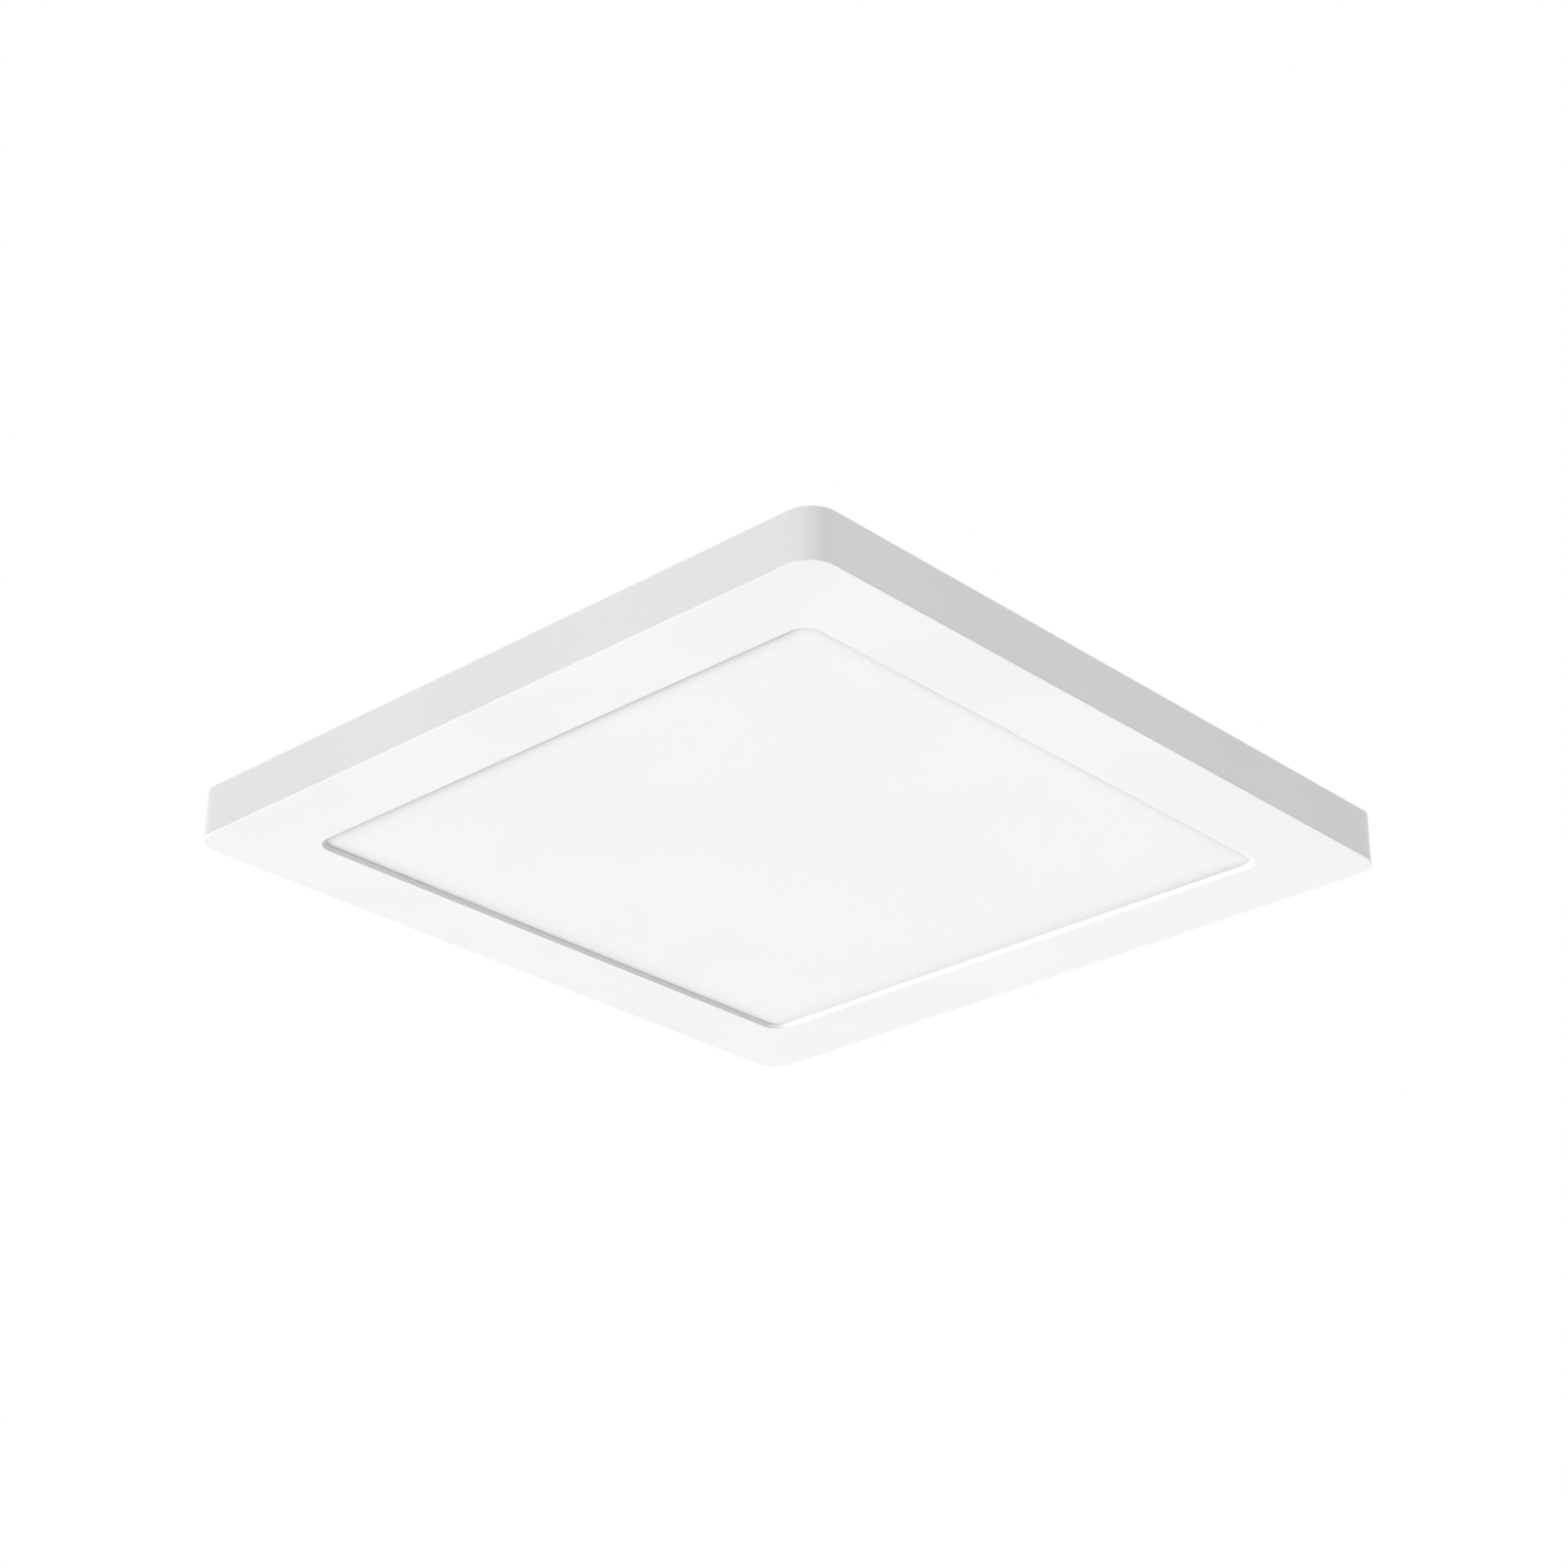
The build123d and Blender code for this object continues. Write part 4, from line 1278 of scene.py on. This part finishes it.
@dataclass
class BackPlate(SubAssembly):
    """Galvanised back plate with its screws, and arrows stamped round the bracket."""

    arrow_inner: float = 66.6 * MM
    arrow_outer: float = 68.6 * MM
    arrow_head: float = 3.2 * MM
    arrow_start: float = 34.0
    arrow_end: float = 58.0
    head_ahead: float = 1.0
    arrow_height: float = 0.35 * MM
    arrow_count: int = 3
    shaft_corners: int = 180
    stamping_soft: float = 0.14 * MM

    def finishes(self) -> dict[str, Finish]:
        """Finish of the plate and its screws."""
        return {"back_plate": Finishes.plate_steel, "back_plate_screws": Finishes.screw_steel}

    def arrow(self, level: float) -> Piece:
        """One curved arrow that shows which way the light turns to lock.

        Args:
            level: Height of the dome's top.

        Returns:
            The arrow.
        """

        def within(centre: Vector) -> bool:
            """Whether a place is between the shaft's start and end."""
            return self.arrow_start < math.degrees(math.atan2(centre.y, centre.x)) < self.arrow_end

        shaft = flat_ring(self.arrow_inner, self.arrow_outer, level, self.shaft_corners)
        keep_faces(shaft, within)
        middle = (self.arrow_inner + self.arrow_outer) / 2
        head = flat_disc(self.arrow_head, (middle, 0.0, level), corners=3)
        turn = math.radians(self.arrow_end + self.head_ahead)
        head.data.transform(Matrix.Rotation(turn, 4, "Z"))
        for part in (shaft, head):
            thicken(part, self.arrow_height, self.stamping_soft)
        return join([shaft, head], "turn_arrow")

    def build(self) -> list[Piece]:
        """Stamps the arrows into the dome, one between each pair of hooks.

        Returns:
            The arrows as one piece.
        """
        first = self.arrow(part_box("back_plate")[1].z)
        arrows = join_round(first, self.arrow_count, "turn_arrows")
        return [complete(arrows, Finishes.plate_steel, Body.FIXTURE)]


@dataclass
class Driver(SubAssembly):
    """Driver in its round case: board, components, terminals and leads."""

    rib_count: int = 40
    rib_width: float = 1.5 * MM
    rib_stand: float = 0.4 * MM
    rib_root: float = 0.5 * MM
    rib_low: float = 0.6 * MM
    rib_top_gap: float = 2.2 * MM
    rib_soft: float = 0.18 * MM
    ring_radii: Pair = (8.0 * MM, 30.2 * MM)
    ring_width: float = 0.9 * MM
    ring_height: float = 0.4 * MM
    ring_soft: float = 0.15 * MM
    gauge_length: float = 9.0 * MM
    gauge_width: float = 1.0 * MM
    gauge_end: float = 2.6 * MM
    gauge_y: float = -17.0 * MM

    def finishes(self) -> dict[str, Finish]:
        """Finish of every piece of the driver."""
        return {
            "insulation_sheet": Finishes.insulation,
            "driver_case": Finishes.case_white,
            "driver_case_screws": Finishes.screw_steel,
            "driver_board": Finishes.board,
            "board_standoffs": Finishes.nylon,
            "transformer_core": Finishes.ferrite,
            "transformer_winding": Finishes.copper,
            "bulk_capacitor": Finishes.sleeve_large,
            "output_capacitors": Finishes.sleeve_small,
            "line_choke": Finishes.ferrite,
            "film_capacitor": Finishes.film_yellow,
            "bridge_rectifier": Finishes.package,
            "power_transistor": Finishes.package,
            "control_chip": Finishes.package,
            "fuse": Finishes.fuse,
            "varistor": Finishes.varistor,
            "terminal_block": Finishes.terminal,
            "terminal_contacts": Finishes.brass,
            "output_connector": Finishes.connector,
            "selector_connector": Finishes.connector,
            "led_lead_positive": Finishes.lead_red,
            "led_lead_negative": Finishes.lead_black,
            "selector_lead": Finishes.lead_white,
            "lead_grommet": Finishes.rubber,
        }

    def build(self) -> list[Piece]:
        """Models the case's grip ribs and the relief on its roof."""
        return [complete(model(), Finishes.case_white, Body.FIXTURE)
                for model in (self.build_ribs, self.build_roof)]

    def build_ribs(self) -> Piece:
        """Upright ribs round the case, to grip it by.

        Returns:
            The ribs as one piece.
        """
        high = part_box("driver_case")[1]
        top = high.z - self.rib_top_gap
        size = (self.rib_stand + self.rib_root, self.rib_width, top - self.rib_low)
        centre = (high.x + (self.rib_stand - self.rib_root) / 2, 0.0, (top + self.rib_low) / 2)
        first = soft_block(size, centre, self.rib_soft)
        return join_round(first, self.rib_count, "case_grip_ribs")

    def build_roof(self) -> Piece:
        """Two moulded rings and a bar that shows how far to strip a wire.

        Returns:
            The relief as one piece.
        """
        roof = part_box("driver_case")[1].z
        parts = []
        for radius in self.ring_radii:
            ring = flat_ring(radius - self.ring_width, radius, roof)
            thicken(ring, self.ring_height, self.ring_soft)
            parts.append(ring)
        tip = (self.gauge_length - self.gauge_width) / 2
        bar = (0.0, self.gauge_length, self.gauge_width)
        left, right = ((x, self.gauge_width, self.gauge_end) for x in (-tip, tip))
        for x, across, deep in (bar, left, right):
            centre = (x, self.gauge_y, roof + self.ring_height / 2)
            parts.append(soft_block((across, deep, self.ring_height), centre, self.ring_soft))
        return join(parts, "case_roof_relief")


@dataclass
class Selector(SubAssembly):
    """Slide switch that picks one of five whites, with its printed scale on the plate."""

    numbers: tuple[str, ...] = ("27", "30", "35", "40", "50")
    step: float = 2.0 * MM
    number_pitch: float = 4.4 * MM
    number_height: float = 2.0 * MM
    screw_head: float = 1.2 * MM
    slot_edge: float = 2.9 * MM
    tick_start: float = 0.4 * MM
    tick_length: float = 1.6 * MM
    number_drop: float = 2.4 * MM
    tick_width: float = 0.28 * MM
    ink: float = 0.02 * MM
    surround_size: Point = (14.6 * MM, 5.8 * MM, 1.0)
    surround_border: float = 0.9 * MM
    surround_height: float = 0.5 * MM
    surround_soft: float = 0.2 * MM

    def finishes(self) -> dict[str, Finish]:
        """Finish of the switch, its board, screws and knob."""
        return {
            "selector_board": Finishes.board,
            "selector_switch": Finishes.screw_steel,
            "selector_spacers": Finishes.nylon,
            "selector_screws": Finishes.screw_steel,
            "selector_knob": Finishes.knob,
        }

    def build(self) -> list[Piece]:
        """Models the slot's surround and prints the scale, both on the back plate's flat.

        Returns:
            The rim and the scale.
        """
        low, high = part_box("selector_knob")
        centre = (0.0, (low.y + high.y) / 2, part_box("selector_screws")[1].z - self.screw_head)
        rim = complete(self.build_surround(centre), Finishes.knob, Body.FIXTURE)
        scale = self.build_scale(centre)
        return [rim, complete(scale, Finishes.print_black, Body.FIXTURE)]

    def build_surround(self, centre: Point) -> Piece:
        """Raised rim round the knob's slot.

        Args:
            centre: Middle of the slot, on the plate.

        Returns:
            The rim.
        """
        rim = add_mesh(bpy.ops.mesh.primitive_plane_add, centre, self.surround_size, size=1.0)
        hollow(rim, self.surround_border)
        thicken(rim, self.surround_height, self.surround_soft)
        rim.name = "selector_surround"
        return rim

    def build_scale(self, centre: Point) -> Piece:
        """Prints five ticks that fan out from the knob's slot to their numbers.

        Args:
            centre: Middle of the slot, on the plate.

        Returns:
            The printed scale as one piece.
        """
        _, middle, level = centre
        near = middle - self.slot_edge - self.tick_start
        far = near - self.tick_length
        marks = []
        for index, number in enumerate(self.numbers):
            offset = index - (len(self.numbers) - 1) / 2
            start = (offset * self.step, near, level)
            end = (offset * self.number_pitch, far, level)
            below = (end[0], far - self.number_drop, level)
            marks.append(printed_line(start, end, self.tick_width, self.ink))
            marks.append(printed_text(number, self.number_height, below))
        return join(marks, "selector_scale")


@dataclass
class Bracket(SubAssembly):
    """Steel bracket on the ceiling box, with the earth screw and its printed mark."""

    mark_centre: Pair = (37.6 * MM, -30.4 * MM)
    mark_radius: float = 3.0 * MM
    mark_line: float = 0.36 * MM
    mark_stem: float = 1.7 * MM
    mark_bars: tuple[float, ...] = (3.2 * MM, 2.1 * MM, 1.0 * MM)
    mark_step: float = 0.75 * MM
    ink: float = 0.02 * MM

    def finishes(self) -> dict[str, Finish]:
        """Finish of the bracket and of the earth screw."""
        return {"mounting_bracket": Finishes.bracket_steel, "ground_screw": Finishes.green_screw}

    def build(self) -> list[Piece]:
        """Prints the earth mark beside the green screw: a stem and three bars in a circle.

        Returns:
            The mark.
        """
        x, y = self.mark_centre
        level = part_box("mounting_bracket")[1].z
        ring = flat_ring(self.mark_radius - self.mark_line, self.mark_radius, level)
        ring.data.transform(Matrix.Translation((x, y, 0.0)))
        thicken(ring, self.ink)
        ends = [((x, y + self.mark_stem, level), (x, y, level))]
        for index, width in enumerate(self.mark_bars):
            row = y - self.mark_step * index
            ends.append(((x - width / 2, row, level), (x + width / 2, row, level)))
        lines = [printed_line(start, end, self.mark_line, self.ink) for start, end in ends]
        mark = join([ring, *lines], "earth_mark")
        return [complete(mark, Finishes.print_black, Body.BRACKET)]


# ------------------------------------------------------------------ studio


def hang_lamp(name: str, kind: str, away: Vector, settings: Mapping[str, Any]) -> Piece:
    """Adds a lamp that shines along a direction.

    Args:
        name: Its name.
        kind: Its type.
        away: Direction from what it lights towards the lamp.
        settings: Properties of the lamp.

    Returns:
        The lamp.
    """
    data = bpy.data.lights.new(name, kind)
    for key, value in settings.items():
        setattr(data, key, value)
    lamp = bpy.data.objects.new(name, data)
    lamp.rotation_mode = "QUATERNION"
    lamp.rotation_quaternion = away.to_track_quat("Z", "Y")
    bpy.context.scene.collection.objects.link(lamp)
    return lamp


@dataclass(frozen=True)
class SoftSun:
    """Far, wide lamp whose light comes evenly from one direction."""

    name: str
    towards: Point
    strength: float
    width_degrees: float

    def place(self) -> None:
        """Adds the lamp; its strength of 1 lights a facing white surface to white."""
        settings = {"energy": self.strength * math.pi, "angle": math.radians(self.width_degrees)}
        hang_lamp(self.name, "SUN", Vector(self.towards), settings)


@dataclass(frozen=True)
class SoftPanel:
    """Large square lamp that shines straight at the origin."""

    name: str
    place_at: Point
    side: float
    power: float

    def place(self) -> None:
        """Adds the lamp, hidden from the camera itself."""
        settings = {"shape": "SQUARE", "size": self.side, "energy": self.power}
        lamp = hang_lamp(self.name, "AREA", Vector(self.place_at), settings)
        lamp.location = self.place_at
        lamp.visible_camera = False


@dataclass
class Studio:
    """Pale floor, white surroundings and soft lamps round the hanging light."""

    floor_z: float = -2.4
    floor_radius: float = 2.4
    floor_colour: Colour = grey(200)
    floor_white: float = 0.8
    floor_fade_mm: Pair = (900.0, 2300.0)
    surround: float = 0.204
    backdrop_low: Colour = grey(228)
    backdrop_fade: Pair = (-0.5, 0.02)

    def build_floor(self) -> None:
        """Round pale floor far below the light, which shows the light's soft shadow."""
        floor = flat_disc(self.floor_radius, (0.0, 0.0, self.floor_z))
        floor.name = "studio_floor"
        made = bpy.data.materials.new("pale_floor")
        made.use_nodes = True
        graph = Graph(made.node_tree)
        seen = self.seen_directly(graph)
        matt = graph.add("ShaderNodeBsdfDiffuse", inputs={"Color": self.floor_colour})
        x, y, _ = graph.split(graph.millimetres())
        far = graph.smooth(length(x, y), *self.floor_fade_mm)
        shown = graph.blend(far, WHITE, self.backdrop_low)
        glow = graph.add("ShaderNodeEmission", inputs={"Color": shown, "Strength": 1.0})
        mixed = graph.add("ShaderNodeMixShader", inputs={
            "Fac": seen * between(far, self.floor_white, 1.0),
            "Shader": matt,
            "Shader_001": glow,
        })
        graph.add_output("ShaderNodeOutputMaterial", mixed)
        floor.data.materials.append(made)

    @staticmethod
    def seen_directly(graph: Graph) -> Signal:
        """1 for rays of the camera, of a reflection or through glass, and otherwise 0.

        Args:
            graph: The graph that asks.

        Returns:
            The switch.
        """
        camera = graph.add("ShaderNodeLightPath", output="Is Camera Ray")
        glossy = camera.sibling("Is Glossy Ray")
        through = camera.sibling("Is Transmission Ray")
        return camera.at_least(glossy).at_least(through)

    def build_surround(self) -> None:
        """White backdrop, pale grey downwards, and a dimmer even light on surfaces."""
        world = bpy.data.worlds.new("white_surround")
        world.use_nodes = True
        graph = Graph(world.node_tree)
        seen = self.seen_directly(graph)
        _, _, up = graph.split(graph.add("ShaderNodeTexCoord", output="Generated"))
        backdrop = graph.blend(graph.smooth(up, *self.backdrop_fade), self.backdrop_low, WHITE)
        light = graph.add("ShaderNodeBackground", inputs={
            "Color": graph.blend(seen, WHITE, backdrop),
            "Strength": between(seen, self.surround, 1.0),
        })
        graph.add_output("ShaderNodeOutputWorld", light)
        bpy.context.scene.world = world

    def build_lamps(self) -> None:
        """Low key from beyond the far side, with fills from every side, above and below."""
        lamps = (
            SoftSun("key_far_side", (0.04, 0.875, -0.48), 0.775, 18.0),
            SoftSun("fill_left", (-0.95, 0.10, -0.25), 0.485, 50.0),
            SoftSun("fill_near_corner", (-0.72, -0.62, 0.30), 0.121, 30.0),
            SoftSun("fill_front", (0.10, -0.93, 0.36), 0.036, 50.0),
            SoftSun("fill_right", (0.90, 0.22, 0.38), 0.1, 40.0),
            SoftSun("top_right", (0.45, -0.35, 0.82), 0.47, 30.0),
            SoftSun("top_light", (0.10, -0.15, 0.98), 0.28, 50.0),
            SoftPanel("fill_below", (0.0, 0.0, -1.9), 2.6, 6.9),
        )
        for lamp in lamps:
            lamp.place()

    def build(self) -> None:
        """Builds floor, surroundings and lamps, and shows colours as they are."""
        self.build_floor()
        self.build_surround()
        self.build_lamps()
        bpy.context.scene.view_settings.view_transform = "Standard"


@dataclass(frozen=True)
class Viewpoint:
    """Camera below the light, looking up at its near corner."""

    place_at: Point = (-0.7554, -0.7131, -0.5034)
    heading_degrees: float = 46.525
    pitch_degrees: float = 26.242
    roll_degrees: float = 0.511
    focal_length_px: float = 3284.8
    frame_px: float = 1600.0
    sensor_mm: float = 36.0
    clip: Pair = (0.01, 60.0)

    def build(self) -> None:
        """Adds the camera and makes it the scene's own."""
        data = bpy.data.cameras.new("viewpoint")
        data.sensor_width = self.sensor_mm
        data.lens = self.focal_length_px / self.frame_px * self.sensor_mm
        data.clip_start, data.clip_end = self.clip
        camera = bpy.data.objects.new("viewpoint", data)
        tilt = math.radians(90 + self.pitch_degrees)
        level = Euler((tilt, 0.0, -math.radians(self.heading_degrees))).to_matrix().to_4x4()
        roll = Matrix.Rotation(math.radians(self.roll_degrees), 4, "Z")
        camera.matrix_world = Matrix.Translation(self.place_at) @ level @ roll
        bpy.context.scene.collection.objects.link(camera)
        bpy.context.scene.camera = camera


# ------------------------------------------------------------------ the whole scene


def main() -> None:
    """Builds the studio, dresses every node and adds the new pieces."""
    logging.basicConfig(level=logging.INFO, format="%(name)s: %(message)s")
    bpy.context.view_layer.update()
    Viewpoint().build()
    Studio().build()
    log.info("studio and camera are in place")
    parts = (FrameAndPanels(), LightStrips(), BackPlate(), Driver(), Selector(), Bracket())
    for part in parts:
        part.dress()
        log.info("%s is dressed", type(part).__name__)
    for part in parts:
        for piece in part.build():
            log.info("%s has %d faces", piece.name, len(piece.data.polygons))


if __name__ == "__main__":
    main()
